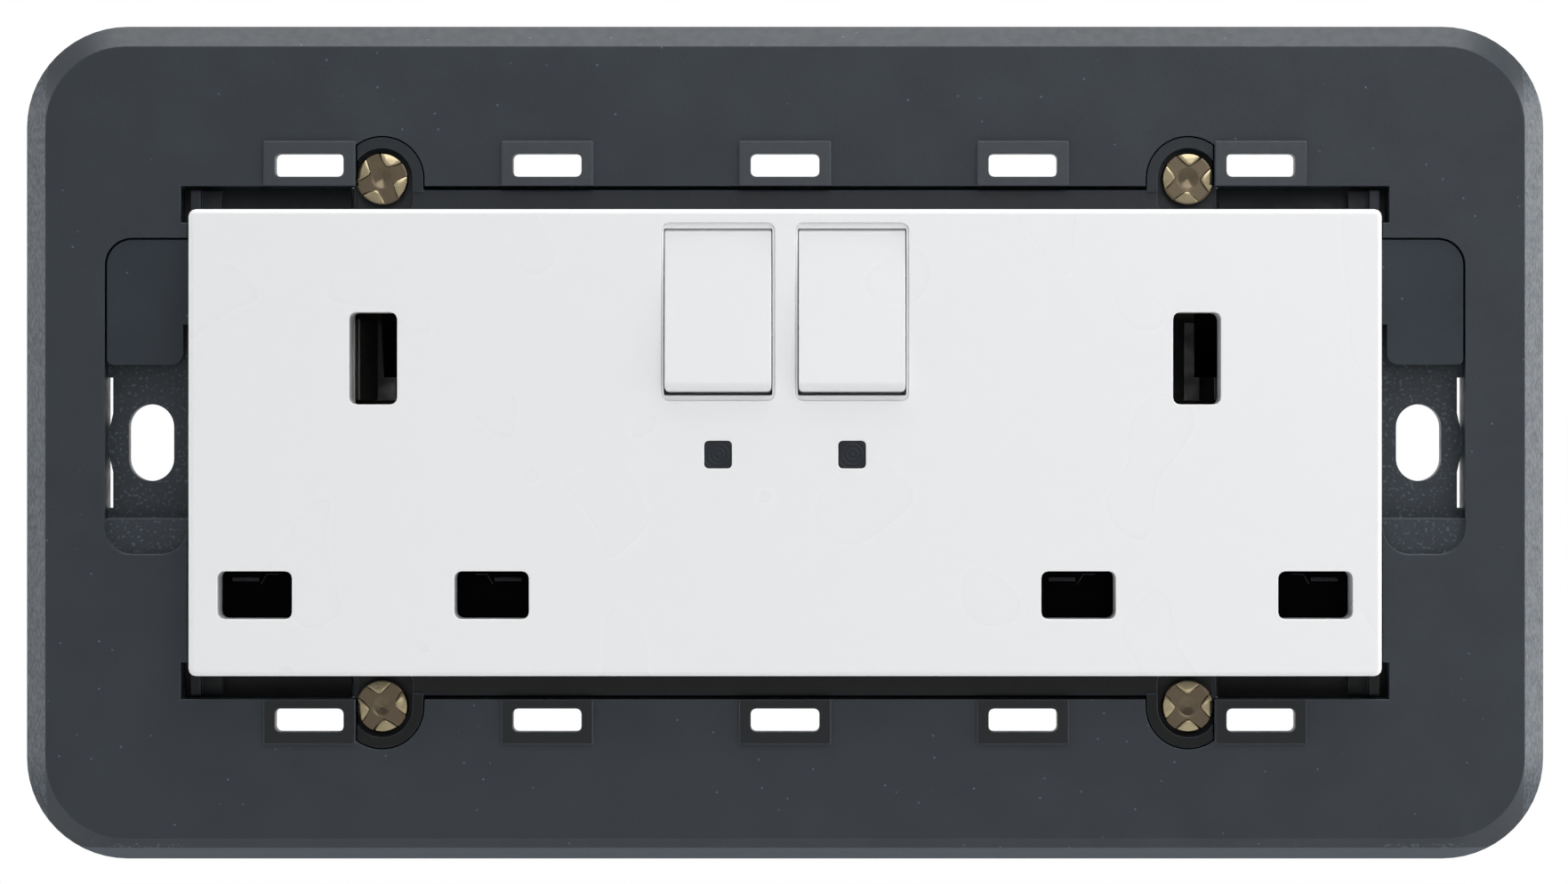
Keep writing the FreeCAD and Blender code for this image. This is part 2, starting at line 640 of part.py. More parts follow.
def coil(name, radius, wire, turns, length, across, level, up, turn=None):
    """A coil spring along Z, or along the axis that the turn gives, bent from straight runs of square wire."""
    radius, wire, turns, length = [value(size) for size in (radius, wire, turns, length)]
    runs = round(turns * RUNS_PER_TURN)
    step = 2 * math.pi / RUNS_PER_TURN
    rise = (length - wire) / runs
    corners = [V(radius * math.cos(i * step), radius * math.sin(i * step), i * rise) for i in range(runs + 1)]
    along = (corners[1] - corners[0]).normalize()
    outwards = V(1, 0, 0) * (wire / 2)
    upwards = along.cross(V(1, 0, 0)) * (wire / 2)
    ends = [corners[0] + outwards * a + upwards * b for a, b in ((1, 1), (-1, 1), (-1, -1), (1, -1), (1, 1))]
    spring = doc.addObject("Part::Feature", name)
    spring.Shape = Part.makePolygon(corners).makePipeShell([Part.makePolygon(ends)], True, True, 1)
    place(spring, across, level, up, turn)
    return spring


# Support frame

def clip_places():
    return [(f"dim.clip_pitch * {column}", f"{row} * dim.clip_height / 2")
            for column in range(-2, 3) for row in (-1, 1)]


def opening_outline(gap):
    """The frame's opening with its corner notches, drawn in by a gap."""
    side = f"({OPENING_X} - {gap})"
    end = f"({OPENING_Z} - {gap})"
    notch_x = f"({OPENING_X} + dim.notch_depth - {gap})"
    notch_z = f"({OPENING_Z} - dim.notch_height + {gap})"
    return outline((f"-{notch_x}", f"-{end}"), (notch_x, f"-{end}"), (notch_x, f"-{notch_z}"),
                   (side, f"-{notch_z}"), (side, notch_z), (notch_x, notch_z),
                   (notch_x, end), (f"-{notch_x}", end), (f"-{notch_x}", notch_z),
                   (f"-{side}", notch_z), (f"-{side}", f"-{notch_z}"), (f"-{notch_x}", f"-{notch_z}"))


def pad_outline(across, row):
    """A raised pad, flush with the edge of the frame's opening."""
    near = f"{row} * {OPENING_Z}"
    far = f"{row} * ({OPENING_Z} + dim.pad_height)"
    bottom, top = (near, far) if row > 0 else (far, near)
    return rectangle(f"{across} - dim.pad_width / 2", bottom, f"{across} + dim.pad_width / 2", top)


def slit_outlines(sign):
    """Two slits beside the fixing slot that narrow to a point at its height."""
    outer = f"{sign} * {POCKET_X}"
    inner = f"{sign} * ({POCKET_X} - dim.slit_width)"
    shapes = []
    for end in (-1, 1):
        near = f"{end} * 0.9"
        bend = f"{end} * 0.45 * dim.slit_length"
        far = f"{end} * dim.slit_length"
        shapes.append(outline((outer, near), (inner, bend), (inner, far), (outer, far)))
    return shapes


def make_support_frame():
    frame = new_body("support_frame")
    plate = pad(frame, "frame_plate", "0", "dim.frame_front",
                centred("0", "0", "dim.frame_width", "dim.frame_height", "dim.frame_corner"))
    front = value("dim.frame_front")
    soften(frame, "frame_bevel_cut", "Chamfer", plate, "dim.frame_bevel",
           lambda edge: lies_at_level(edge, front))
    pads = [pad_outline(f"dim.clip_pitch * {column}", row) for column in range(-2, 3) for row in (-1, 1)]
    pad(frame, "clip_pads", "dim.frame_front", "dim.frame_front + dim.pad_rise", *pads)
    cut(frame, "frame_opening", "0", "dim.frame_front", opening_outline("0"))
    cut_side_pockets(frame)
    hollow_frame_back(frame)
    make_frame_ears(frame)
    cut(frame, "clip_slots", "0", "dim.frame_front + dim.pad_rise",
        *[centred(across, up, "dim.clip_slot_width", "dim.clip_slot_height", "dim.clip_slot_corner")
          for across, up in clip_places()])
    keep("support_frame", frame)


def cut_side_pockets(frame):
    """The pockets beside the opening, with the wall fixings in their floors."""
    pockets = []
    steps = []
    webs = []
    fixings = []
    slits = []
    for side, sign in SIDES:
        outer = f"{sign} * {POCKET_X}"
        inner = f"{sign} * ({OPENING_X} - dim.carrier_gap)"
        edge = f"{sign} * {OPENING_X}"
        web = f"{sign} * ({OPENING_X} + dim.web_thickness + dim.plate_fit)"
        left, right = (inner, web) if sign > 0 else (web, inner)
        pockets.append(outline((inner, "dim.pocket_bottom"), (outer, "dim.pocket_bottom"),
                               (outer, "dim.pocket_top", "dim.pocket_corner"), (inner, "dim.pocket_top")))
        steps.append(outline((edge, "dim.pocket_bottom"), (edge, "dim.step_bottom", "dim.pocket_corner"),
                             (outer, "dim.step_bottom", "dim.pocket_corner"), (outer, "dim.pocket_bottom")))
        webs.append(rectangle(left, "dim.web_bottom - dim.plate_fit", right,
                              "dim.pocket_top - dim.wing_gap + dim.plate_fit"))
        fixings.append(upright_slot(f"{sign} * dim.fixing_spacing / 2", "0", "dim.fixing_width",
                                    "dim.fixing_length"))
        slits += slit_outlines(sign)
    cut(frame, "pockets", "dim.lug_thickness", "dim.frame_front", *pockets)
    cut(frame, "pocket_steps", "dim.frame_front - dim.step_depth", "dim.frame_front", *steps)
    cut(frame, "web_slots", "0", "dim.lug_thickness", *webs)
    cut(frame, "wall_fixings", "0", "dim.lug_thickness", *fixings)
    cut(frame, "slits", "0", "dim.lug_thickness", *slits)


def hollow_frame_back(frame):
    """Hollows between the rim, the clip rows and the pockets, with ribs left standing."""
    depth = "dim.frame_front - dim.frame_wall"
    rim_x = "(dim.frame_width / 2 - dim.frame_wall - dim.frame_bevel / 2)"
    rim_z = f"({FRAME_TOP} - dim.frame_wall - dim.frame_bevel / 2)"
    band_z = f"({OPENING_Z} + dim.frame_wall + dim.cavity_height)"
    half_rib = "dim.rib_thickness / 2"
    shapes = []
    for row in (-1, 1):
        for column in range(-3, 3):
            left = f"{column} * dim.clip_pitch + {half_rib}"
            right = f"{column + 1} * dim.clip_pitch - {half_rib}"
            if column == -3:
                left = f"-{rim_x} + dim.frame_corner / 2"
            if column == 2:
                right = f"{rim_x} - dim.frame_corner / 2"
            ends = (f"{row} * {band_z}", f"{row} * {rim_z}")
            bottom, top = ends if row > 0 else ends[::-1]
            shapes.append(rectangle(left, bottom, right, top))
        for side, sign in SIDES:
            inner = f"{sign} * ({POCKET_X} + dim.frame_wall)"
            outer = f"{sign} * {rim_x}"
            left, right = (inner, outer) if sign > 0 else (outer, inner)
            low = f"{row} * {half_rib}"
            high = f"{row} * ({band_z} - dim.rib_thickness)"
            bottom, top = (low, high) if row > 0 else (high, low)
            shapes.append(rectangle(left, bottom, right, top))
    cut(frame, "back_hollows", "0", depth, *shapes)
    cavities = []
    for row in (-1, 1):
        near = f"{row} * ({OPENING_Z} + dim.frame_wall / 2)"
        far = f"{row} * ({OPENING_Z} + dim.frame_wall / 2 + dim.cavity_height)"
        bottom, top = (near, far) if row > 0 else (far, near)
        for column in range(-1, 2):
            middle = f"dim.clip_pitch * {column}"
            cavities.append(rectangle(f"{middle} - dim.cavity_width / 2", bottom,
                                      f"{middle} + dim.cavity_width / 2", top))
        for sign in (-1, 1):
            near_x = f"{sign} * (2 * dim.clip_pitch - dim.clip_slot_width / 2 - 0.3)"
            far_x = f"{sign} * (2 * dim.clip_pitch + dim.cavity_width / 2)"
            left, right = (near_x, far_x) if sign > 0 else (far_x, near_x)
            cavities.append(rectangle(left, bottom, right, top))
    cut(frame, "clip_cavities", "0", depth, *cavities)


def screw_places():
    return [(sign, row, f"{sign} * {SCREW_X}", f"{row} * {SCREW_Z}") for side, sign in SIDES for row in (-1, 1)]


def make_frame_ears(frame):
    """Recesses that take the carrier's ears, each over a screw boss."""
    pad(frame, "bosses", "-dim.boss_depth", EAR_BACK,
        *[centred(across, up, "2 * dim.boss_radius", "2 * dim.boss_radius")
          for sign, row, across, up in screw_places()])
    cut(frame, "ear_recesses", EAR_BACK, "dim.frame_front + dim.pad_rise",
        *[ear_outline(sign, row, "dim.seam") for sign, row, across, up in screw_places()])
    hole = "dim.screw_shank_radius + dim.thread_clearance"
    cut(frame, "boss_holes", "-dim.boss_depth", EAR_BACK,
        *[many_sided(across, up, hole) for sign, row, across, up in screw_places()])


def ear_outline(sign, row, gap):
    """A round ear, cut flat on its outer side, that runs down to the strip. The gap widens it all round."""
    return (add_ear, sign, row, gap)


def add_ear(sketch, sign, row, gap):
    middle = (f"{sign} * {SCREW_X}", f"{row} * {SCREW_Z}")
    radius = f"(dim.ear_radius + {gap})"
    flat = f"(dim.ear_reach + {gap})"
    rise = f"sqrt({radius} ^ 2 - {flat} ^ 2)"
    foot = f"{row} * ({CARRIER_Z} - dim.seam)"
    flat_x = f"{sign} * ({SCREW_X} + {flat})"
    inner_x = f"{sign} * ({SCREW_X} - {radius})"
    points = ((inner_x, foot), (flat_x, foot), (flat_x, f"{row} * ({SCREW_Z} + {rise})"), (inner_x, middle[1]))
    spots = [V(value(a), value(b), 0) for a, b in points]
    rules = []
    for i in range(3):
        start, end = (3, 0) if i == 2 else (i, i + 1)
        sketch_line = Part.LineSegment(spots[start], spots[end])
        number = sketch.addGeometry(sketch_line, False)
        tie_point(sketch, rules, number, 1, *points[start])
        tie_point(sketch, rules, number, 2, *points[end])
        if i == 0:
            first = number
    centre = V(value(middle[0]), value(middle[1]), 0)
    round_edge = Part.Circle(centre, V(0, 0, 1), value(radius))
    anticlockwise = sign * row > 0
    low, high = (spots[2], spots[3]) if anticlockwise else (spots[3], spots[2])
    arc = Part.ArcOfCircle(round_edge, round_edge.parameter(low), round_edge.parameter(high))
    number = sketch.addGeometry(arc, False)
    join(rules, number, 1 if anticlockwise else 2, first + 1, 2)
    join(rules, number, 2 if anticlockwise else 1, first + 2, 1)
    rules.append((Sketcher.Constraint("Radius", number, value(radius)), radius))
    apply_rules(sketch, rules)


# Mechanism carrier

def make_carrier():
    carrier = new_body("mechanism_carrier")
    pad(carrier, "carrier_plate", "0", "dim.carrier_thickness",
        opening_outline("dim.plate_fit"),
        centred("0", "0", f"2 * {CARRIER_HOLE_X}", f"2 * {CARRIER_HOLE_Z}", "dim.housing_corner"))
    inner_z = f"({FACE_Z} + dim.seam)"
    strip_x = f"({SCREW_X} + dim.ear_reach)"
    strips = []
    blocks = []
    ledges = []
    for row in (-1, 1):
        ends = (f"{row} * {inner_z}", f"{row} * {CARRIER_Z}")
        bottom, top = ends if row > 0 else ends[::-1]
        strips.append(rectangle(f"-{strip_x}", bottom, strip_x, top))
        for side, sign in SIDES:
            block_x = (f"{sign} * ({CARRIER_X} - dim.block_width)", f"{sign} * {CARRIER_X}")
            ledge_x = (f"{sign} * ({CARRIER_X} - dim.block_width - dim.ledge_width)", block_x[0])
            for shapes, ends_x in ((blocks, block_x), (ledges, ledge_x)):
                left, right = ends_x if sign > 0 else ends_x[::-1]
                shapes.append(rectangle(left, bottom, right, top))
    pad(carrier, "strips", "dim.carrier_thickness", "dim.strip_front", *strips)
    pad(carrier, "end_blocks", "dim.carrier_thickness", "dim.block_front", *blocks)
    pad(carrier, "end_ledges", "dim.carrier_thickness", "dim.ledge_front", *ledges)
    make_carrier_ears(carrier)
    make_wings(carrier)
    keep("mechanism_carrier", carrier)


def make_carrier_ears(carrier):
    """Ears with a screw well that is open towards the face and outwards."""
    mouths = []
    for sign, row, middle_x, middle_z in screw_places():
        inner_x = f"{sign} * ({SCREW_X} - dim.well_radius)"
        outer_x = f"{sign} * ({SCREW_X} + dim.ear_reach)"
        foot = f"{row} * {FACE_Z}"
        mouths.append(outline((inner_x, middle_z), (inner_x, foot, "0.7"), (outer_x, foot), (outer_x, middle_z)))
    rounds = [(across, up) for sign, row, across, up in screw_places()]
    pad(carrier, "ears", EAR_BACK, "dim.ear_front",
        *[ear_outline(sign, row, "0") for sign, row, across, up in screw_places()])
    cut(carrier, "boss_spaces", "0", EAR_BACK,
        *[centred(across, up, "2 * dim.boss_radius + 4 * dim.seam", "2 * dim.boss_radius + 4 * dim.seam")
          for across, up in rounds])
    cut(carrier, "wells", WELL_FLOOR, "dim.ear_front",
        *[circle(across, up, "dim.well_radius") for across, up in rounds])
    cut(carrier, "well_mouths", WELL_FLOOR, "dim.ear_front", *mouths)
    cut(carrier, "screw_holes", "0", WELL_FLOOR,
        *[many_sided(across, up, "dim.screw_shank_radius + 4 * dim.thread_clearance") for across, up in rounds])


def make_wings(carrier):
    """Side wings that lie in the frame's pockets, each on an upright web."""
    top = "dim.pocket_top - dim.wing_gap"
    roots = []
    webs = []
    wings = []
    for side, sign in SIDES:
        root = f"{sign} * ({CARRIER_X} - dim.block_width)"
        inner = f"{sign} * ({CARRIER_X} - dim.carrier_gap / 3)"
        web = f"{sign} * ({OPENING_X} + dim.web_thickness)"
        notch = f"{sign} * ({CARRIER_X} + dim.wing_notch)"
        outer = f"{sign} * ({POCKET_X} - dim.wing_gap)"
        for shapes, near in ((roots, root), (webs, inner)):
            left, right = (near, web) if sign > 0 else (web, near)
            shapes.append(rectangle(left, "dim.web_bottom", right, top))
        wings.append(outline((inner, top), (inner, "dim.web_bottom"), (notch, "dim.web_bottom"),
                             (notch, "dim.wing_bottom", "1.0"), (outer, "dim.wing_bottom", "0.5"),
                             (outer, top, "dim.pocket_corner - dim.wing_gap")))
    pad(carrier, "web_roots", "0", "dim.carrier_thickness", *roots)
    pad(carrier, "webs", "0", "dim.wing_front", *webs)
    pad(carrier, "wings", "dim.wing_front - dim.wing_thickness", "dim.wing_front", *wings)


# White face

def aperture_shapes(grow, radius=None):
    """The six pin apertures, widened all round."""
    shapes = []
    for side, sign in SIDES:
        middle = f"{sign} * {OUTLET_X}"
        shapes.append(centred(middle, "dim.earth_z", f"dim.earth_hole_width + 2 * {grow}",
                              f"dim.earth_hole_height + 2 * {grow}", radius))
        for pole in (-1, 1):
            shapes.append(centred(f"{middle} + {pole} * dim.pin_spacing / 2", POWER_Z,
                                  f"dim.power_hole_width + 2 * {grow}",
                                  f"dim.power_hole_height + 2 * {grow}", radius))
    return shapes


def post_places():
    return [(f"{sign} * {across}", up) for side, sign in SIDES
            for across, up in (("dim.post_upper_x", "dim.post_upper_z"), (OUTLET_X, "dim.post_lower_z"))]


def make_front_cover():
    cover = new_body("front_cover")
    shell = pad(cover, "cover_block", "dim.carrier_thickness", "dim.face_level",
                centred("0", "0", "dim.face_width", "dim.face_height", "dim.face_corner"))
    front = value("dim.face_level")
    soften(cover, "cover_edge", "Fillet", shell, "dim.face_edge", lambda edge: lies_at_level(edge, front))
    cut(cover, "cover_inside", "dim.carrier_thickness", FACE_BACK,
        centred("0", "0", f"2 * {SKIRT_X}", f"2 * {SKIRT_Z}"))
    pad(cover, "tunnels", TUNNEL_BACK, FACE_BACK, *aperture_shapes("dim.tunnel_wall"))
    cut(cover, "apertures", TUNNEL_BACK, "dim.face_level", *aperture_shapes("0", "dim.hole_corner"))
    wells = [centred(f"{sign} * {ROCKER_X}", "dim.rocker_z", "dim.well_width", "dim.well_height",
                     "dim.well_corner") for side, sign in SIDES]
    cut(cover, "rocker_wells", FACE_BACK, "dim.face_level", *wells)
    windows = [centred(f"{sign} * {ROCKER_X}", "dim.window_z", "dim.window_size", "dim.window_size",
                       "dim.window_corner") for side, sign in SIDES]
    cut(cover, "windows", FACE_BACK, "dim.face_level", *windows)
    make_bearings(cover)
    posts = [centred(across, up, "2 * dim.post_radius", "2 * dim.post_radius") for across, up in post_places()]
    pad(cover, "cover_posts", f"{PLATE_FRONT} + dim.plate_gap", FACE_BACK, *posts)
    holes = [many_sided(across, up, "dim.long_shank_radius + dim.thread_clearance")
             for across, up in post_places()]
    cut(cover, "cover_post_holes", f"{PLATE_FRONT} + dim.plate_gap", "dim.long_reach + dim.plate_gap", *holes)
    keep("front_cover", cover)


def make_bearings(cover):
    """Lugs behind the rocker wells, each with a round bearing that opens to the back."""
    well_side = f"({ROCKER_X} + dim.well_width / 2)"
    middle_side = f"({ROCKER_X} - dim.well_width / 2)"
    back = f"{PIVOT} - dim.bearing_reach"
    low = "dim.rocker_z - dim.bearing_half_height"
    high = "dim.rocker_z + dim.bearing_half_height"
    lugs = [rectangle(f"-{middle_side}", low, middle_side, high)]
    for side, sign in SIDES:
        ends = (f"{sign} * {well_side}", f"{sign} * ({well_side} + dim.bearing_thickness)")
        left, right = ends if sign > 0 else ends[::-1]
        lugs.append(rectangle(left, low, right, high))
    pad(cover, "bearing_lugs", back, FACE_BACK, *lugs)
    reach = f"({well_side} + dim.bearing_thickness)"
    bore = "(dim.trunnion_radius + dim.trunnion_clearance)"
    # seen along X, across is -level
    cut(cover, "bearing_bores", f"-{reach}", reach,
        circle(f"-{PIVOT}", "dim.rocker_z", bore), plane="YZ")
    mouth = f"0.85 * {bore}"
    cut(cover, "bearing_mouths", f"-{reach}", reach,
        rectangle(f"-{PIVOT}", f"dim.rocker_z - {mouth}", f"-({back})", f"dim.rocker_z + {mouth}"), plane="YZ")


# Rockers and what they work. Each is drawn about its own pivot and then tilted to its resting place.

def tilt_into_place(thing, sign, level, up, degrees):
    place(thing, f"{sign} * {ROCKER_X}", level, up, Turn(V(1, 0, 0), 1))
    thing.setExpression("Placement.Rotation.Angle", degrees)


def make_rocker(side, sign):
    rocker = new_body(f"rocker_{side}")
    front = "dim.pivot_depth + dim.rocker_proud"
    back = f"{front} - dim.rocker_depth"
    cap = pad(rocker, f"cap_{side}", back, front,
              centred("0", "0", "dim.rocker_width", "dim.rocker_height", "0.4"))
    level = value(front)
    tall = value("dim.rocker_width / 2")
    soften(rocker, f"cap_edge_{side}", "Fillet", cap, "dim.rocker_edge",
           lambda edge: lies_at_level(edge, level) and runs_along(edge, V(1, 0, 0)))
    cut(rocker, f"cap_inside_{side}", back, f"{front} - 1.3",
        centred("0", "0", "dim.rocker_width - 2.0", "dim.rocker_height - 2.4"))
    pad(rocker, f"stem_{side}", "-dim.stem_length", f"{front} - 1.0", many_sided("0", "0", "dim.stem_radius"))
    for hand in (-1, 1):
        inner = f"{hand} * (dim.rocker_width / 2 - 1.0)"
        outer = f"{hand} * dim.rocker_width / 2"
        start, end = (inner, outer) if hand > 0 else (outer, inner)
        cheek = "dim.trunnion_radius + 0.9"
        pad(rocker, f"cheek_{side}_{'right' if hand > 0 else 'left'}", start, end,
            outline((f"-({back}) - 0.5", f"-({cheek})"), (f"{cheek} - 0.3", f"-({cheek})", "0.8"),
                    (f"{cheek} - 0.3", cheek, "0.8"), (f"-({back}) - 0.5", cheek)), plane="YZ")
        pin_end = f"{hand} * (dim.well_width / 2 + 0.8)"
        start, end = (outer, pin_end) if hand > 0 else (pin_end, outer)
        pad(rocker, f"trunnion_{side}_{'right' if hand > 0 else 'left'}", start, end,
            many_sided("0", "0", "0.96 * dim.trunnion_radius"), plane="YZ")
    bore = "dim.plunger_radius + dim.plunger_clearance"
    cut(rocker, f"stem_bore_{side}", "-dim.stem_length", f"{front} - 2.2", circle("0", "0", bore))
    tilt_into_place(rocker, sign, PIVOT, "dim.rocker_z", "-dim.rocker_tilt")
    keep(f"rocker_{side}", rocker)


def make_plunger(side, sign):
    """A turned pin with a coned tip, hollow at the back for its spring."""
    plunger = new_body(f"plunger_{side}")
    tip = "-dim.plunger_reach"
    shoulder = f"{tip} + 0.7 * dim.plunger_radius"
    head = f"{tip} + dim.plunger_length"
    pin = pad(plunger, f"pin_{side}", tip, head, circle("0", "0", "dim.plunger_radius"))
    level = value(tip)
    soften(plunger, f"pin_tip_{side}", "Chamfer", pin, "0.7 * dim.plunger_radius",
           lambda edge: lies_at_level(edge, level))
    cut(plunger, f"spring_cup_{side}", f"{shoulder} + 0.8", head,
        many_sided("0", "0", "0.72 * dim.plunger_radius"))
    tilt_into_place(plunger, sign, PIVOT, "dim.rocker_z", "-dim.rocker_tilt")
    keep(f"plunger_{side}", plunger)
    bottom = f"({shoulder} + 0.8 + dim.plunger_wire)"
    top = "(dim.pivot_depth + dim.rocker_proud - 2.2 - dim.plunger_wire)"
    radius = "(0.72 * dim.plunger_radius - dim.plunger_wire)"
    spring = coil(f"plunger_coil_{side}", radius, "dim.plunger_wire", "dim.plunger_turns",
                  f"{top} - {bottom}", "0", "0", "0", Turn(V(1, 0, 0), 90))
    spring.setExpression("Placement.Base.y", f"-({bottom} + dim.plunger_wire / 2)")
    holder = group(f"plunger_spring_{side}", [spring])
    tilt_into_place(holder, sign, PIVOT, "dim.rocker_z", "-dim.rocker_tilt")
    keep(f"plunger_spring_{side}", holder)


def make_moving_contact(side, sign):
    """A see-saw strip with a rolled knuckle that rocks in the feed strip's cradle, and its silver tip."""
    back = "0.5 * dim.knuckle_radius"
    strip = block(f"seesaw_strip_{side}", "-dim.seesaw_width / 2", "dim.seesaw_width / 2",
                  back, f"{back} + dim.sheet", "-dim.seesaw_below", "dim.seesaw_above")
    knuckle = rod(f"seesaw_knuckle_{side}", "X", "dim.knuckle_radius",
                  "-dim.cradle_width / 2 + 0.3", "dim.cradle_width / 2 - 0.3", "0", "0")
    contact = joined(f"moving_contact_{side}", strip, knuckle)
    tilt_into_place(contact, sign, SEESAW_PIVOT, "dim.rocker_z", "dim.seesaw_tilt")
    keep(f"moving_contact_{side}", contact)
    rivet = many_sided_bar(f"moving_rivet_{side}", "dim.tip_radius", f"{back} - dim.tip_height", back,
                           "0", "dim.tip_offset")
    holder = group(f"moving_tip_{side}", [rivet])
    tilt_into_place(holder, sign, SEESAW_PIVOT, "dim.rocker_z", "dim.seesaw_tilt")
    keep(f"moving_tip_{side}", holder)


ON_TIP = (f"({SEESAW_PIVOT} + (0.5 * dim.knuckle_radius - dim.tip_height) * cos(dim.seesaw_tilt * 1 deg)"
          " - (dim.tip_offset + dim.tip_radius) * sin(dim.seesaw_tilt * 1 deg))")
ARM_FRONT = f"({ON_TIP} - dim.tip_gap - dim.tip_height)"


def make_switch_feed():
    """The live feed strip with its two cradles and the leg down to the live terminal."""
    half = f"({ROCKER_X} + dim.seesaw_width / 2)"
    leg = "(1.5 * dim.terminal_pitch)"
    bar = block("feed_bar", f"-{half}", f"{leg} + dim.strap_width / 2", FEED_BACK, FEED_FRONT,
                "dim.rocker_z - dim.cradle_height / 2", "dim.rocker_z + dim.cradle_height / 2")
    down = block("feed_leg", f"{leg} - dim.strap_width / 2", f"{leg} + dim.strap_width / 2",
                 FEED_BACK, FEED_FRONT, TERMINAL_TOP, "dim.rocker_z")
    solids = [bar, down]
    grooves = []
    for side, sign in SIDES:
        middle = f"{sign} * {ROCKER_X}"
        solids.append(block(f"cradle_{side}", f"{middle} - dim.cradle_width / 2",
                            f"{middle} + dim.cradle_width / 2", FEED_FRONT,
                            f"{SEESAW_PIVOT} - 0.1", "dim.rocker_z - dim.cradle_height / 3",
                            "dim.rocker_z + dim.cradle_height / 3"))
        grooves.append(rod(f"groove_{side}", "X", "dim.knuckle_radius + dim.cradle_clearance",
                           f"{middle} - dim.cradle_width", f"{middle} + dim.cradle_width",
                           SEESAW_PIVOT, "dim.rocker_z"))
    keep("switch_feed", without("switch_feed", joined("feed_whole", *solids), *grooves))


# Contacts

def power_clip(name, middle, base_level):
    """Two sprung leaves that grip a flat pin from above and below, on a flat base."""
    leaves = []
    half_base = "dim.power_clip_base / 2"
    grip = "dim.power_clip_opening / 2"
    back = f"({base_level} - dim.sheet)"
    for where, row in (("lower", -1), ("upper", 1)):
        points = ((f"-{back}", f"{row} * ({half_base} - dim.sheet)"),
                  (f"-({base_level} + 1.5)", f"{row} * ({half_base} - dim.sheet)"),
                  ("-dim.power_grip", f"{row} * {grip}"),
                  ("-dim.power_clip_front", f"{row} * ({grip} + 1.0)"))
        leaves.append(leaf(f"{name}_{where}", "YZ", points, "0", POWER_Z,
                           f"{middle} - dim.power_clip_width / 2", "dim.power_clip_width", -row))
    base = block(f"{name}_base", f"{middle} - dim.power_clip_width / 2", f"{middle} + dim.power_clip_width / 2",
                 back, base_level, f"{POWER_Z} - {half_base} + dim.sheet / 2",
                 f"{POWER_Z} + {half_base} - dim.sheet / 2")
    return leaves + [base]


def earth_clip(name, middle):
    """Two sprung leaves that grip the earth pin from its sides, on a flat base."""
    half = "dim.earth_clip_base / 2"
    back = "(dim.earth_level - dim.sheet)"
    bottom = "dim.earth_z - dim.earth_clip_height / 2"
    left = ((f"-({half} - dim.sheet)", f"-{back}"),
            (f"-({half} - dim.sheet)", "-(dim.earth_level + 2.0)"),
            ("dim.earth_left_crest", "-dim.earth_grip"),
            (f"-({half} - dim.sheet) + 0.5", f"-({PLATE_BACK} - 2 * dim.plate_gap)"))
    right = ((f"{half} - dim.sheet", f"-{back}"),
             (f"{half} - dim.sheet", "-(dim.earth_level + 2.0)"),
             ("dim.earth_right_crest", "-(dim.earth_grip - 2.0)"),
             (f"{half} - dim.sheet", f"-({SHUTTER_BACK} - dim.ramp_depth - 0.6)"))
    base = block(f"{name}_base", f"{middle} - {half} + dim.sheet / 2", f"{middle} + {half} - dim.sheet / 2",
                 back, "dim.earth_level", bottom, f"{bottom} + dim.earth_clip_height")
    return [leaf(f"{name}_left", "XY", left, middle, "0", bottom, "dim.earth_clip_height", 1),
            leaf(f"{name}_right", "XY", right, middle, "0", bottom, "dim.earth_clip_height", -1), base]


def strap(name, left, right, level, bottom, top):
    return block(name, left, right, f"{level} - dim.sheet", level, bottom, top)


def make_neutral_busbar():
    """Neutral clips of both outlets on one strap, with a tab down to the neutral terminal."""
    half = "dim.strap_width / 2"
    left = f"-{OUTLET_X} - dim.pin_spacing / 2"
    right = f"{OUTLET_X} - dim.pin_spacing / 2"
    clip_top = f"{POWER_Z} + dim.power_clip_base / 2 - dim.sheet / 2"
    level = "dim.neutral_level"
    pieces = power_clip("neutral_left", left, level) + power_clip("neutral_right", right, level)
    pieces.append(strap("neutral_strap", f"{left} - {half}", f"{right} + {half}", level,
                        f"dim.neutral_strap_z - {half}", f"dim.neutral_strap_z + {half}"))
    for name, middle in (("left", left), ("right", right)):
        pieces.append(strap(f"neutral_neck_{name}", f"{middle} - {half}", f"{middle} + {half}", level,
                            clip_top, "dim.neutral_strap_z"))
    tab = "-1.5 * dim.terminal_pitch"
    pieces.append(strap("neutral_tab", f"{tab} - {half}", f"{tab} + {half}", level,
                        TERMINAL_TOP, "dim.neutral_strap_z"))
    keep("neutral_busbar", joined("neutral_busbar", *pieces))


def make_earth_strap():
    """Earth clips of both outlets on one strap, with tabs down to the two earth terminals."""
    half = "dim.strap_width / 2"
    level = "dim.earth_level"
    pieces = earth_clip("earth_left", f"-{OUTLET_X}") + earth_clip("earth_right", OUTLET_X)
    pieces.append(strap("earth_bar", f"-{OUTLET_X}", OUTLET_X, level,
                        "dim.earth_z - dim.strap_width", "dim.earth_z + dim.strap_width"))
    for side, sign in SIDES:
        tab = f"{sign} * dim.terminal_pitch / 2"
        pieces.append(strap(f"earth_tab_{side}", f"{tab} - {half}", f"{tab} + {half}", level,
                            f"{TERMINAL_TOP} - dim.strap_width / 2", "dim.earth_z"))
    keep("earth_strap", joined("earth_strap", *pieces))


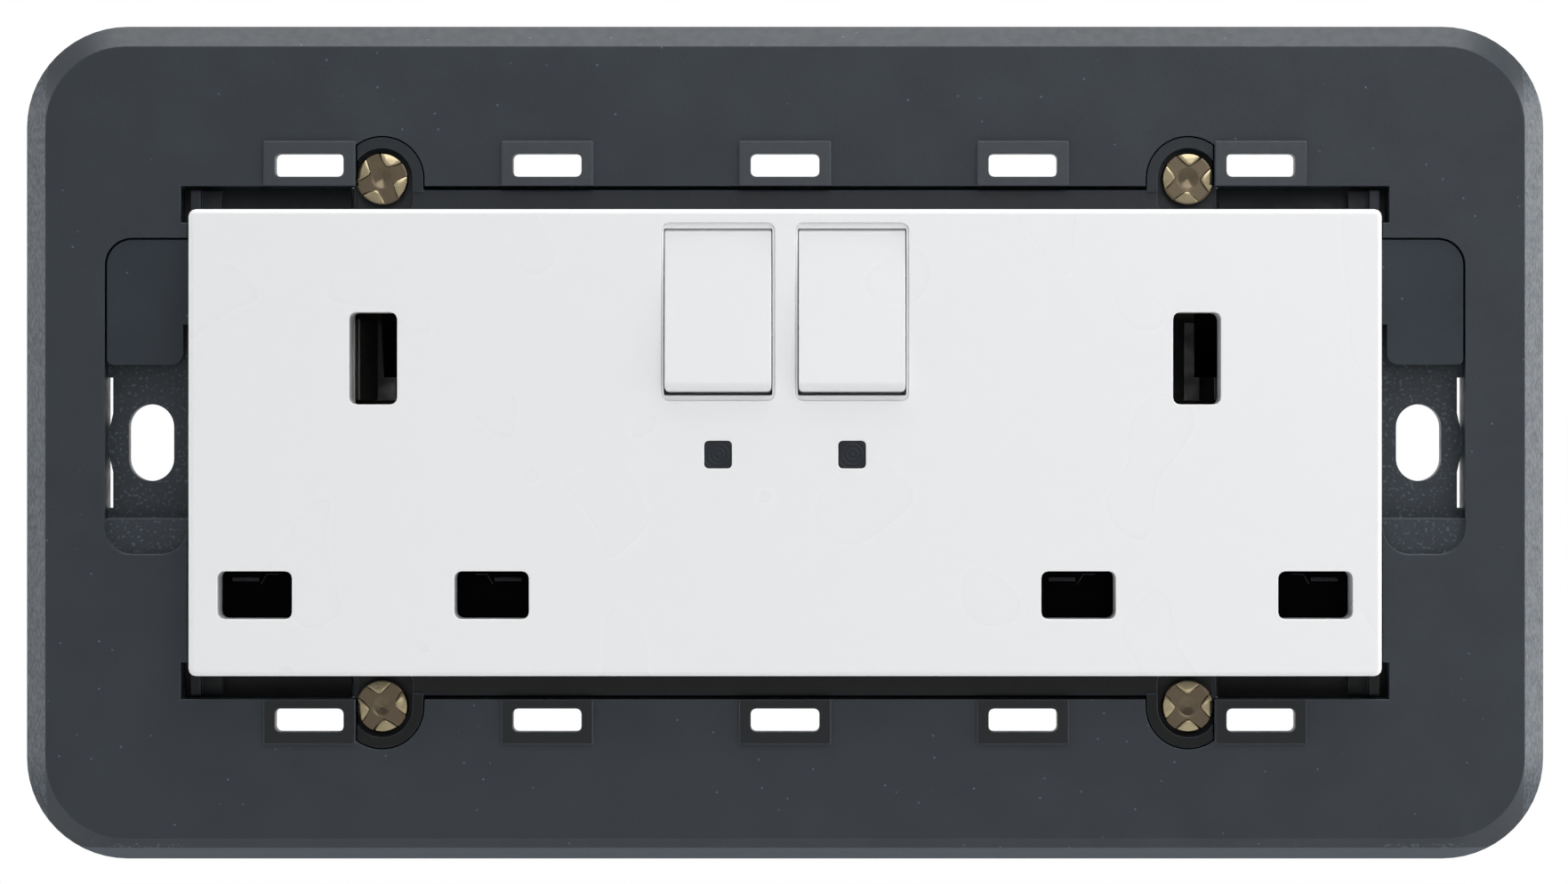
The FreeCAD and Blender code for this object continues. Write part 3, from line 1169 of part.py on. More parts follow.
def make_live_clip(side, sign):
    """A live clip with the strap that brings it to its switch, ending in a raised arm."""
    half = "dim.strap_width / 2"
    middle = f"{sign} * {OUTLET_X} + dim.pin_spacing / 2"
    level = "dim.live_level"
    upright = "-dim.live_strap_x" if sign < 0 else "dim.right_strap_x"
    arm_middle = f"{sign} * {ROCKER_X}"
    top = "dim.arm_z + 0.5 * dim.strap_width"
    pieces = power_clip(f"live_{side}", middle, level)
    foot = f"{POWER_Z} + dim.power_clip_base / 2 - dim.sheet / 2"
    foot_ends = (f"{middle} - {half}", f"{upright} + {half}")
    if sign > 0:
        foot_ends = (f"{upright} - {half}", f"{middle} + {half}")
    pieces.append(strap(f"live_foot_{side}", foot_ends[0], foot_ends[1], level, foot, f"{foot} + dim.strap_width"))
    pieces.append(strap(f"live_upright_{side}", f"{upright} - {half}", f"{upright} + {half}", level, foot, top))
    near = f"{arm_middle} - {sign} * dim.arm_width / 2"
    far = f"{upright} + {sign} * {half}"
    left, right = (near, far) if sign > 0 else (far, near)
    pieces.append(strap(f"live_run_{side}", left, right, level, f"dim.arm_z - {half}", top))
    pieces.append(block(f"live_riser_{side}", f"{arm_middle} - dim.arm_width / 2",
                        f"{arm_middle} + dim.arm_width / 2", level, ARM_FRONT, f"{top} - dim.sheet", top))
    pieces.append(block(f"live_arm_{side}", f"{arm_middle} - dim.arm_width / 2",
                        f"{arm_middle} + dim.arm_width / 2", f"{ARM_FRONT} - dim.sheet", ARM_FRONT,
                        f"dim.arm_z - {half}", top))
    keep(f"live_clip_{side}", joined(f"live_clip_{side}", *pieces))
    tip = many_sided_bar(f"fixed_tip_{side}", "dim.tip_radius", ARM_FRONT, f"{ARM_FRONT} + dim.tip_height",
                         arm_middle, "dim.rocker_z + dim.tip_offset")
    keep(f"fixed_tip_{side}", tip)


# Terminals

def make_terminal(label, place_number, back):
    """A brass block with a wire hole from below and a clamp screw hole from the back."""
    middle = f"{place_number} * dim.terminal_pitch"
    half = "dim.terminal_width / 2"
    body = block(f"{label}_block", f"{middle} - {half}", f"{middle} + {half}", back, "dim.terminal_front",
                 "dim.terminal_bottom", TERMINAL_TOP)
    wire = rod(f"{label}_wire_hole", "Z", "dim.wire_radius", "dim.terminal_bottom - 1",
               "dim.terminal_bottom + dim.wire_depth", middle, "dim.wire_level")
    clamp = many_sided_bar(f"{label}_clamp_hole", "(dim.clamp_radius + dim.thread_clearance) / cos(15 deg)",
                           f"{back} - 1", "dim.wire_level", middle, "dim.clamp_z")
    keep(label, without(label, body, wire, clamp))


EARTH_BLOCK_BACK = "dim.earth_level"
POWER_BLOCK_BACK = "(dim.neutral_level - 0.9)"


def make_terminals():
    for label, number, back in (("terminal_neutral", -1.5, POWER_BLOCK_BACK),
                                ("terminal_earth_left", -0.5, EARTH_BLOCK_BACK),
                                ("terminal_earth_right", 0.5, EARTH_BLOCK_BACK),
                                ("terminal_live", 1.5, POWER_BLOCK_BACK)):
        make_terminal(label, number, back)


def make_terminal_screws():
    screws = []
    for number, back in ((-1.5, POWER_BLOCK_BACK), (-0.5, EARTH_BLOCK_BACK),
                         (0.5, EARTH_BLOCK_BACK), (1.5, POWER_BLOCK_BACK)):
        name = f"clamp_{'left' if number < 0 else 'right'}_{'outer' if abs(number) > 1 else 'inner'}"
        middle = f"{number} * dim.terminal_pitch"
        seat = f"({back} - dim.clamp_open)"
        shank = many_sided_bar(f"{name}_shank", "dim.clamp_radius", f"{seat} - 0.01",
                          "dim.wire_level - dim.wire_radius - 0.1", middle, "dim.clamp_z")
        head = many_sided_bar(f"{name}_head", "dim.clamp_head_radius", f"{seat} - dim.clamp_head_height", seat,
                              middle, "dim.clamp_z")
        slot = block(f"{name}_slot", f"{middle} - dim.clamp_head_radius - 1",
                     f"{middle} + dim.clamp_head_radius + 1", f"{seat} - dim.clamp_head_height - 1",
                     f"{seat} - 0.4 * dim.clamp_head_height", "dim.clamp_z - 0.4", "dim.clamp_z + 0.4")
        screws.append(without(name, joined(f"{name}_whole", shank, head), slot))
    keep("terminal_screws", group("terminal_screws", screws))


# Shutters

SPRING_LEVEL = f"({PLATE_FRONT} + dim.shutter_gap + dim.spring_radius + dim.spring_wire / 2)"


def make_shutter(side, sign):
    """A slide with two flags over the power apertures and a ramp in the earth pin's way."""
    shutter = new_body(f"shutter_{side}")
    flag_x = "(dim.power_hole_width / 2 + dim.shutter_cover)"
    flag_z = "(dim.power_hole_height / 2 + dim.shutter_cover)"
    reach = "dim.pin_spacing / 2"
    low = f"({POWER_Z} - {flag_z})"
    flag_top = f"({POWER_Z} + {flag_z})"
    bar_top = f"({flag_top} + dim.shutter_bar)"
    arm_left = "(dim.earth_hole_width / 2 + dim.shutter_cover / 2)"
    arm_right = f"({arm_left} + dim.shutter_arm)"
    top = "(dim.earth_z + dim.earth_hole_height / 2)"
    pad(shutter, f"slide_{side}", SHUTTER_BACK, SHUTTER_FRONT,
        outline((f"-({reach} + {flag_x})", low, "0.6"), (f"-({reach} - {flag_x})", low, "0.6"),
                (f"-({reach} - {flag_x})", flag_top, "0.6"), (f"{reach} - {flag_x}", flag_top, "0.6"),
                (f"{reach} - {flag_x}", low, "0.6"), (f"{reach} + {flag_x}", low, "0.6"),
                (f"{reach} + {flag_x}", bar_top, "0.6"), (arm_right, bar_top, "0.6"),
                (arm_right, top), ("dim.ramp_side", top), ("dim.ramp_side", f"{top} - 0.6"),
                (arm_left, f"{top} - 0.6"), (arm_left, bar_top), (f"-({reach} + {flag_x})", bar_top, "0.6")))
    foot = f"({top} - 0.6 - dim.shutter_travel)"
    back = f"({SHUTTER_BACK} - dim.ramp_depth)"
    pad(shutter, f"ramp_{side}", "dim.ramp_side", arm_left,
        outline((f"-{SHUTTER_FRONT}", top), (f"-{SHUTTER_FRONT}", f"{top} - 0.6"),
                (f"-{back} - 0.4", foot), (f"-{back}", foot), (f"-{back}", top)), plane="YZ")
    pad(shutter, f"peg_{side}", f"{bar_top} - 0.1", f"{bar_top} + 2.5",
        many_sided("-dim.spring_offset", f"-{SPRING_LEVEL}", "dim.spring_radius - dim.spring_wire / 2 - 0.35"),
        plane="XY")
    place(shutter, f"{sign} * {OUTLET_X}", "0", "0")
    keep(f"shutter_{side}", shutter)
    spring = coil(f"shutter_spring_{side}", "dim.spring_radius", "dim.spring_wire", "dim.spring_turns",
                  "dim.spring_length", f"{sign} * {OUTLET_X} - dim.spring_offset", SPRING_LEVEL,
                  f"{bar_top} + dim.seat_gap + dim.spring_wire / 2")
    keep(f"shutter_spring_{side}", spring)


SPRING_TOP = (f"({POWER_Z} + dim.power_hole_height / 2 + dim.shutter_cover + dim.shutter_bar"
              " + dim.spring_length + 2 * dim.seat_gap)")


def make_shutter_plate():
    plate = new_body("shutter_plate")
    pad(plate, "plate_sheet", PLATE_BACK, PLATE_FRONT,
        centred("0", "0", f"2 * {HOUSING_X}", f"2 * {HOUSING_Z}", "dim.housing_corner"))
    lift = "(dim.shutter_travel + dim.shutter_gap)"
    top = "(dim.earth_z + dim.earth_hole_height / 2)"
    openings = []
    stops = []
    for side, sign in SIDES:
        middle = f"{sign} * {OUTLET_X}"
        bottom = "dim.earth_z - dim.earth_hole_height / 2"
        openings.append(rectangle(f"{middle} - dim.earth_hole_width / 2", bottom,
                                  f"{middle} + dim.earth_hole_width / 2 + dim.shutter_cover", f"{top} + {lift}"))
        for pole in (-1, 1):
            openings.append(centred(f"{middle} + {pole} * dim.pin_spacing / 2", POWER_Z,
                                    "dim.power_hole_width", "dim.power_hole_height"))
        stops.append(rectangle(f"{middle} - dim.spring_offset - dim.spring_radius - dim.spring_wire", SPRING_TOP,
                               f"{middle} - dim.spring_offset + dim.spring_radius + dim.spring_wire",
                               f"{SPRING_TOP} + dim.spring_seat"))
    cut(plate, "plate_openings", PLATE_BACK, PLATE_FRONT, *openings)
    pad(plate, "spring_stops", PLATE_FRONT, f"{FACE_BACK} - dim.shutter_gap", *stops)
    reach = f"({ROCKER_X} + dim.well_width / 2 + dim.bearing_thickness)"
    cut(plate, "switch_opening", PLATE_BACK, PLATE_FRONT,
        centred("0", "dim.rocker_z", f"2 * {reach}", "2 * dim.stem_radius + 3.0"))
    width = "2 * (dim.lamp_radius + dim.lamp_gap + dim.holder_wall)"
    holders = [centred(f"{sign} * {ROCKER_X}", "dim.window_z", width, width) for side, sign in SIDES]
    pad(plate, "lamp_holders", f"{PLATE_FRONT} - dim.holder_depth", PLATE_FRONT, *holders)
    bores = [many_sided(f"{sign} * {ROCKER_X}", "dim.window_z", "dim.lamp_radius + dim.lamp_gap")
             for side, sign in SIDES]
    cut(plate, "lamp_bores", f"{PLATE_FRONT} - dim.holder_depth", PLATE_FRONT, *bores)
    holes = [many_sided(across, up, "dim.long_shank_radius + 4 * dim.thread_clearance")
             for across, up in post_places()]
    cut(plate, "plate_screw_holes", PLATE_BACK, PLATE_FRONT, *holes)
    keep("shutter_plate", plate)


# Lamps

LENS_BACK = f"({FACE_BACK} - dim.lens_gap - dim.lens_flange)"


def make_lens(side, sign):
    lens = new_body(f"lens_{side}")
    size = "(dim.window_size - 2 * dim.lens_gap)"
    pad(lens, f"lens_stalk_{side}", f"{FACE_BACK} - dim.lens_gap - 0.1", "dim.face_level - dim.lens_recess",
        centred("0", "0", size, size, "dim.window_corner - dim.lens_gap"))
    pad(lens, f"lens_flange_{side}", LENS_BACK, f"{FACE_BACK} - dim.lens_gap",
        centred("0", "0", f"{size} + 2 * dim.lens_flange", f"{size} + 2 * dim.lens_flange"))
    place(lens, f"{sign} * {ROCKER_X}", "0", "dim.window_z")
    keep(f"lens_{side}", lens)


def make_lamp(side, sign):
    """A small glass lamp with a narrower tip and two leads at the back."""
    middle = f"{sign} * {ROCKER_X}"
    front = f"({LENS_BACK} - dim.lamp_gap)"
    back = f"({front} - dim.lamp_length)"
    tip = many_sided_bar(f"lamp_tip_{side}", "0.6 * dim.lamp_radius", f"{front} - dim.lamp_radius", front,
                         middle, "dim.window_z")
    glass = many_sided_bar(f"lamp_glass_{side}", "dim.lamp_radius", back, f"{front} - 0.5 * dim.lamp_radius",
                           middle, "dim.window_z")
    leads = [block(f"lamp_lead_{side}_{name}", f"{middle} + {hand} * dim.lamp_radius / 2 - dim.lamp_lead_radius",
                   f"{middle} + {hand} * dim.lamp_radius / 2 + dim.lamp_lead_radius", f"{back} - 3.0",
                   f"{back} + 0.5", "dim.window_z - dim.lamp_lead_radius", "dim.window_z + dim.lamp_lead_radius")
             for name, hand in (("a", -1), ("b", 1))]
    keep(f"neon_lamp_{side}", joined(f"neon_lamp_{side}", tip, glass, *leads))


# Rear housing

def make_rear_housing():
    housing = new_body("rear_housing")
    outer = centred("0", "0", f"2 * {HOUSING_X}", f"2 * {HOUSING_Z}", "dim.housing_corner")
    shell = pad(housing, "housing_block", "-dim.housing_depth", "dim.housing_rim", outer)
    back = value("-dim.housing_depth")
    soften(housing, "housing_edge", "Chamfer", shell, "0.8", lambda edge: lies_at_level(edge, back))
    cut(housing, "housing_inside", FLOOR, "dim.housing_rim",
        centred("0", "0", f"2 * {CAVITY_X}", f"2 * {CAVITY_Z}"))
    make_snap_hooks(housing)
    make_terminal_bay(housing)
    make_seats(housing)
    posts = [centred(across, up, "2 * dim.post_radius", "2 * dim.post_radius") for across, up in post_places()]
    pad(housing, "housing_posts", FLOOR, "dim.housing_rim", *posts)
    holes = [many_sided(across, up, "dim.long_shank_radius + 4 * dim.thread_clearance")
             for across, up in post_places()]
    cut(housing, "housing_post_holes", "-dim.housing_depth", "dim.housing_rim", *holes)
    sinks = [many_sided(across, up, "dim.long_head_radius + dim.seam") for across, up in post_places()]
    cut(housing, "housing_sinks", "-dim.housing_depth", "-dim.housing_depth + dim.long_head_height + 0.3", *sinks)
    keep("rear_housing", housing)


def make_snap_hooks(housing):
    """Wedges above and below, just behind the carrier's plate."""
    front = "-dim.plate_gap"
    for end, row in (("bottom", -1), ("top", 1)):
        root = f"{row} * ({HOUSING_Z} - dim.housing_wall / 2)"
        edge = f"{row} * {HOUSING_Z}"
        crest = f"{row} * ({HOUSING_Z} + dim.snap_reach)"
        for column in (-1, 0, 1):
            middle = f"{column} * dim.snap_spacing"
            name = {-1: "left", 0: "middle", 1: "right"}[column]
            pad(housing, f"snap_{end}_{name}", f"{middle} - dim.snap_width / 2", f"{middle} + dim.snap_width / 2",
                outline((f"-({front})", root), (f"-({front})", crest), (f"-({front}) + 0.4", crest),
                        (f"-({front}) + dim.snap_height", edge), (f"-({front}) + dim.snap_height", root)),
                plane="YZ")


def make_terminal_bay(housing):
    """Fins between the terminals, shoulders that carry them, and the holes to reach them."""
    places = (-2, -1, 0, 1, 2)
    bottom = f"-{CAVITY_Z} - 0.1"
    top = TERMINAL_TOP
    fins = [rectangle(f"{number} * dim.terminal_pitch - dim.fin_width / 2", bottom,
                      f"{number} * dim.terminal_pitch + dim.fin_width / 2", top) for number in places]
    pad(housing, "terminal_fins", FLOOR, "dim.terminal_front", *fins)
    for name, number, back in (("neutral", -1.5, POWER_BLOCK_BACK), ("earth_left", -0.5, EARTH_BLOCK_BACK),
                               ("earth_right", 0.5, EARTH_BLOCK_BACK), ("live", 1.5, POWER_BLOCK_BACK)):
        middle = f"{number} * dim.terminal_pitch"
        inner = "(dim.terminal_pitch / 2 - dim.fin_width)"
        outer = "dim.terminal_pitch / 2"
        shoulders = [rectangle(f"{middle} - {outer}", bottom, f"{middle} - {inner}", top),
                     rectangle(f"{middle} + {inner}", bottom, f"{middle} + {outer}", top)]
        pad(housing, f"shoulders_{name}", FLOOR, f"{back} - dim.seat_gap", *shoulders)
    middles = [f"{number} * dim.terminal_pitch" for number in (-1.5, -0.5, 0.5, 1.5)]
    outer_fins = [rectangle(f"{number} * dim.terminal_pitch - dim.fin_width / 2",
                            f"-({HOUSING_Z} + dim.fin_reach)",
                            f"{number} * dim.terminal_pitch + dim.fin_width / 2", f"-({HOUSING_Z} - 0.5)")
                  for number in places]
    pad(housing, "outer_fins", "-dim.housing_depth + 2.0", "-(dim.snap_height + 1.0)", *outer_fins)
    cut(housing, "wire_windows", f"-({HOUSING_Z} + dim.fin_reach + 1)", f"-{CAVITY_Z}",
        *[centred(middle, "-dim.wire_level", "dim.terminal_pitch - dim.fin_width", "dim.wire_window")
          for middle in middles], plane="XY")
    cut(housing, "screw_access", "-dim.housing_depth", FLOOR,
        *[many_sided(middle, "dim.clamp_z", "dim.access_radius") for middle in middles])


def make_seats(housing):
    """Posts that carry the clips, the straps, the fixed contacts and the feed strip."""
    live = "dim.live_level - dim.sheet - dim.seat_gap"
    neutral = "dim.neutral_level - dim.sheet - dim.seat_gap"
    earth = "dim.earth_level - dim.sheet - dim.seat_gap"
    seat = "dim.power_clip_width - 0.6"
    shapes = {"live": [], "neutral": [], "earth": []}
    for side, sign in SIDES:
        middle = f"{sign} * {OUTLET_X}"
        shapes["neutral"].append(centred(f"{middle} - dim.pin_spacing / 2", POWER_Z, seat, seat))
        shapes["live"].append(centred(f"{middle} + dim.pin_spacing / 2", POWER_Z, seat, seat))
        shapes["earth"].append(centred(middle, "dim.earth_z", seat, seat))
    pad(housing, "live_seats", FLOOR, live, *shapes["live"])
    pad(housing, "neutral_seats", FLOOR, neutral, *shapes["neutral"])
    pad(housing, "earth_seats", FLOOR, earth, *shapes["earth"])
    arms = [rectangle(f"{sign} * {ROCKER_X} - dim.arm_width / 2", "dim.arm_z - dim.strap_width / 2",
                      f"{sign} * {ROCKER_X} + dim.arm_width / 2", "dim.arm_z - dim.strap_width / 2 + 0.9")
            for side, sign in SIDES]
    pad(housing, "arm_seats", FLOOR, live, *arms)
    pad(housing, "feed_seat", FLOOR, f"{FEED_BACK} - dim.seat_gap",
        centred("0", "dim.rocker_z", "3.0", "dim.cradle_height - 0.6"))


# Screws

def make_carrier_screw(name, middle_x, middle_z):
    """A pan-head screw with a cross recess whose arms run out through the rim."""
    crown = f"({WELL_FLOOR} + dim.screw_head_height)"
    shank = many_sided_bar(f"{name}_shank", "dim.screw_shank_radius", f"{WELL_FLOOR} - dim.screw_length",
                           WELL_FLOOR, middle_x, middle_z)
    head = many_sided_bar(f"{name}_head", "dim.screw_head_radius", WELL_FLOOR, crown, middle_x, middle_z)
    reach = "(dim.screw_head_radius + 1)"
    half = "(0.24 * dim.screw_head_radius)"
    floor = f"{WELL_FLOOR} + 0.4 * dim.screw_head_height"
    bars = [block(f"{name}_{way}", f"{middle_x} - {wide}", f"{middle_x} + {wide}", floor, f"{crown} + 1",
                  f"{middle_z} - {tall}", f"{middle_z} + {tall}")
            for way, wide, tall in (("level", reach, half), ("upright", half, reach))]
    return without(name, joined(f"{name}_whole", shank, head), *bars)


def make_carrier_screws():
    screws = []
    for side, sign in SIDES:
        for end, row in (("bottom", -1), ("top", 1)):
            screws.append(make_carrier_screw(f"screw_{end}_{side}", f"{sign} * {SCREW_X}", f"{row} * {SCREW_Z}"))
    keep("carrier_screws", group("carrier_screws", screws))


def make_assembly_screws():
    """Long screws from the back of the housing into the posts of the cover."""
    screws = []
    for number, (across, up) in enumerate(post_places(), 1):
        name = f"long_screw_{number}"
        seat = "(dim.long_head_height + 0.25 - dim.housing_depth)"
        shank = many_sided_bar(f"{name}_shank", "dim.long_shank_radius", f"{seat} - 0.01", "dim.long_reach",
                               across, up)
        head = many_sided_bar(f"{name}_head", "dim.long_head_radius", f"{seat} - dim.long_head_height", seat,
                              across, up)
        bars = [block(f"{name}_bar_{name_b}", f"{across} - {wide}", f"{across} + {wide}",
                      f"{seat} - dim.long_head_height - 1", f"{seat} - 0.4", f"{up} - {tall}", f"{up} + {tall}")
                for name_b, wide, tall in (("level", "1.3", "0.35"), ("upright", "0.35", "1.3"))]
        screws.append(without(name, joined(f"{name}_whole", shank, head), *bars))
    keep("assembly_screws", group("assembly_screws", screws))


# Building and writing

def check_document():
    """Stop if a feature failed, a cut took nothing away or a piece isn't sound."""
    for thing in doc.Objects:
        if "Invalid" in thing.State or "Error" in thing.State:
            raise RuntimeError(f"{thing.Name} failed: {thing.State}")
        if thing.TypeId == "PartDesign::Pocket":
            if thing.Shape.Volume > thing.BaseFeature.Shape.Volume - 1e-6:
                raise RuntimeError(f"{thing.Name} cuts nothing")
    for piece in subparts:
        if piece.Shape.isNull() or not piece.Shape.isValid() or not piece.Shape.Solids:
            raise RuntimeError(f"{piece.Label} isn't a sound solid")


def write_pieces():
    os.makedirs("parts", exist_ok=True)
    for piece in subparts:
        piece.Shape.exportStep(f"parts/{piece.Label}.step")
        print(piece.Label, len(piece.Shape.Solids), round(piece.Shape.Volume, 2))


def main():
    make_support_frame()
    make_carrier()
    make_front_cover()
    for side, sign in SIDES:
        make_rocker(side, sign)
        make_plunger(side, sign)
        make_moving_contact(side, sign)
        make_live_clip(side, sign)
        make_shutter(side, sign)
        make_lens(side, sign)
        make_lamp(side, sign)
    make_switch_feed()
    make_neutral_busbar()
    make_earth_strap()
    make_terminals()
    make_terminal_screws()
    make_shutter_plate()
    make_rear_housing()
    make_carrier_screws()
    make_assembly_screws()
    doc.recompute()
    check_document()
    write_pieces()


main()
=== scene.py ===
"""Looks of a twin switched socket on its support frame: finishes, turned screws and a studio."""
import math

import bmesh
import bpy
from bpy.props import FloatProperty, FloatVectorProperty, IntProperty, PointerProperty
from mathutils import Matrix, Vector


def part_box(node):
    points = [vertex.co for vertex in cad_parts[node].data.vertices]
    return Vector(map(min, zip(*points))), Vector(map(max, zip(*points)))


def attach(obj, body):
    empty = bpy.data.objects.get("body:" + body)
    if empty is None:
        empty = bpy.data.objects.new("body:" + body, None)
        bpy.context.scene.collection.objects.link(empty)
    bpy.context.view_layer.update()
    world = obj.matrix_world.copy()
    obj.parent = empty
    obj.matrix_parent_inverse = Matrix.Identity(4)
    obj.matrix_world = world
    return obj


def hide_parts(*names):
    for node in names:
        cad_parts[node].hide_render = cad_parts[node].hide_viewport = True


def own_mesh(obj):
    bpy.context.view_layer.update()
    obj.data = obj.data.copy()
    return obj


bl_info = {
    "name": "Twin socket looks",
    "version": (1, 0, 0),
    "blender": (4, 5, 0),
    "location": "View3D > Sidebar > Socket",
    "description": "Dresses the twin socket's solids and sets up a plain studio",
    "category": "Object",
}

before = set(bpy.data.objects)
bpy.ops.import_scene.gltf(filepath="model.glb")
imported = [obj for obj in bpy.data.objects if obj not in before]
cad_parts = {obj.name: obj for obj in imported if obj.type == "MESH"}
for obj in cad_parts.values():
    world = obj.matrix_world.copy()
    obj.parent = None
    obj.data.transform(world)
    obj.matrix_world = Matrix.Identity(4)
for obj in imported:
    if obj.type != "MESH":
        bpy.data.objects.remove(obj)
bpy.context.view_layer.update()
SIDES = (("left", -1), ("right", 1))

# Places and travels of the solids, in metres
OUTLET_X, POLE_X = 0.0386, 0.0111
ROCKER_X, ROCKER_Z = 0.00628, 0.01225
SCREW_SPACING, SCREW_ROWS, SCREW_SEAT = 0.0763, 0.050, 0.0016
PLUNGER_TRAVEL, PLUNGER_LEAN = 0.0008, math.radians(5.0)

# Where the grey plastic changes, in metres from the middle or from the wall plane
FAR = 1.0
POCKET_X, POCKET_Y, POCKET_TOP = (0.0568, 0.0643), (-0.0045, -0.0005), 0.0195
# FOOT_BEVEL_Z bounds the foot bevel that is made paler as painted light from below
END_BEVEL_X, FOOT_BEVEL_Z = 0.0700, -0.0384
# PAD_Y and STRIP_Z bound the bands whose lower halves are darkened as painted shade
PAD_Y, STRIP_Z = -0.0053, 0.0205
LENS_RING = 0.00042

# The lamps: name, place, width, height and the setting that holds the radiance
PANELS = (
    ("key_panel", (0.25, -0.90, 0.28), 0.43, 0.43, "key"),
    ("top_panel", (0.14, -0.32, 0.46), 0.60, 0.40, "top"),
    ("above_panel", (0.0, 0.04, 0.60), 0.60, 0.50, "above"),
    ("right_panel", (0.60, 0.05, 0.0), 0.50, 0.50, "right"),
    ("left_panel", (-0.60, 0.05, 0.0), 0.50, 0.50, "left"),
)


def colour(name, description, default):
    """A colour property with a plain name."""
    return FloatVectorProperty(name=name, description=description, default=default,
                               subtype="COLOR", size=3, min=0.0, max=1.0)


def length(name, description, default):
    """A length property in metres."""
    return FloatProperty(name=name, description=description, default=default,
                         unit="LENGTH", precision=6, min=0.0)


class PlasticSettings(bpy.types.PropertyGroup):
    """Colours of the moulded pieces."""
    frame_grey: colour("Frame grey", "Base colour of the support frame", (0.0215, 0.0268, 0.0332))
    carrier_grey: colour("Carrier grey", "Base colour of the mechanism carrier", (0.0185, 0.0240, 0.0310))
    face_white: colour("Face white", "Base colour of the white face", (0.745, 0.75, 0.76))
    rocker_white: colour("Rocker white", "Base colour of the rockers", (0.725, 0.73, 0.745))
    shutter_black: colour("Shutter black", "Base colour of the shutters", (0.0008, 0.0008, 0.0009))
    shutter_line: colour("Shutter line", "Base colour of the shutters' raised lines", (0.028, 0.029, 0.032))
    housing_cream: colour("Housing cream", "Base colour of the rear housing", (0.60, 0.57, 0.49))
    lens_smoke: colour("Lens smoke", "Base colour of the lamp windows", (0.0075, 0.0105, 0.0145))
    grain: length("Grain", "Size of the grey plastic's grain", 0.00022)


class MetalSettings(bpy.types.PropertyGroup):
    """Colours and sizes of the metal pieces."""
    brass: colour("Brass", "Base colour of the contacts", (0.80, 0.58, 0.25))
    silver: colour("Silver", "Base colour of the contact tips", (0.86, 0.85, 0.82))
    plating: colour("Plating", "Base colour of the yellow-plated screws", (0.32, 0.27, 0.17))
    # painted shade: the screws' recesses get this darker colour, standing in for the shade in the hollow
    recess: colour("Recess", "Base colour of the screws' recesses", (0.10, 0.08, 0.055))
    # painted shade: the earth strap gets a dark grey instead of its metal's colour, standing in for the shade deep
    # in the earth aperture
    earth_painted_shade: colour("Dull metal", "Base colour of the tarnished earth strap", (0.32, 0.32, 0.32))
    steel: colour("Steel", "Base colour of springs and clamp screws", (0.56, 0.56, 0.57))


class ScrewSettings(bpy.types.PropertyGroup):
    """Sizes of the carrier screws."""
    head_radius: length("Head radius", "Radius of a carrier screw's head", 0.00247)
    head_height: length("Head height", "Height of a carrier screw's head", 0.00158)
    arm_width: length("Arm width", "Width of the cross recess's arms", 0.0012)
    recess_depth: length("Recess depth", "Depth of the recess below the crown", 0.00075)
    shank_radius: length("Shank radius", "Radius of the thread's crest", 0.00140)
    shank_length: length("Shank length", "Length of the shank under the head", 0.0058)
    pitch: length("Pitch", "Distance from thread to thread", 0.0006)
    turn: FloatProperty(name="Turn", description="How far the cross recess is turned", default=math.radians(15),
                        subtype="ANGLE", unit="ROTATION")
    spread: FloatProperty(name="Spread", description="How far the screws' turns differ", default=math.radians(45),
                          subtype="ANGLE", unit="ROTATION")
    seed: IntProperty(name="Seed", description="Fixed seed for the turns of the screws", default=26)


class SpringSettings(bpy.types.PropertyGroup):
    """Sizes of the coil springs."""
    shutter_wire: length("Shutter spring wire", "Wire diameter of a shutter spring", 0.0004)
    shutter_turns: FloatProperty(name="Shutter spring turns", description="Turns of a shutter spring", default=9.0)
    plunger_wire: length("Plunger spring wire", "Wire diameter of a plunger spring", 0.00025)
    plunger_turns: FloatProperty(name="Plunger spring turns", description="Turns of a plunger spring", default=7.0)


class WellSettings(bpy.types.PropertyGroup):
    """Sizes of the inner lips of the rocker wells."""
    half_width: length("Half width", "Half the width of a rocker well", 0.005325)
    half_height: length("Half height", "Half the height of a rocker well", 0.00835)
    side_lip: length("Side lip", "How far the lip stands in at the sides", 0.00024)
    end_lip: length("End lip", "How far the lip stands in at the ends", 0.00053)
    depth: length("Depth", "Depth of the lip below the face", 0.0002)


class StudioSettings(bpy.types.PropertyGroup):
    """Camera and light."""
    lens: FloatProperty(name="Lens", description="Focal length of the camera in millimetres", default=134.65)
    distance: length("Distance", "Distance from the wall plane to the camera", 0.560)
    floor_depth: length("Floor depth", "How far the floor lies below the middle", 0.11)
    ambient: FloatProperty(name="Ambient", description="Strength of the world's light on matt surfaces",
                           default=0.19, min=0.0)
    key: FloatProperty(name="Key", description="Radiance of the soft box over the camera", default=1.7, min=0.0)
    top: FloatProperty(name="Top", description="Radiance of the panel above the front", default=2.8, min=0.0)
    above: FloatProperty(name="Above", description="Radiance of the panel over the top edge", default=3.9, min=0.0)
    right: FloatProperty(name="Right", description="Radiance of the panel at the right", default=6.0, min=0.0)
    left: FloatProperty(name="Left", description="Radiance of the panel at the left", default=2.4, min=0.0)


# Nodes of a material

def start_finish(name):
    """A new material with only its surface shader and output."""
    material = bpy.data.materials.new(name)
    material.use_nodes = True
    tree = material.node_tree
    tree.nodes.clear()
    output = tree.nodes.new("ShaderNodeOutputMaterial")
    surface = tree.nodes.new("ShaderNodeBsdfPrincipled")
    tree.links.new(surface.outputs["BSDF"], output.inputs["Surface"])
    place = tree.nodes.new("ShaderNodeTexCoord")
    return material, tree, surface, place.outputs["Object"]


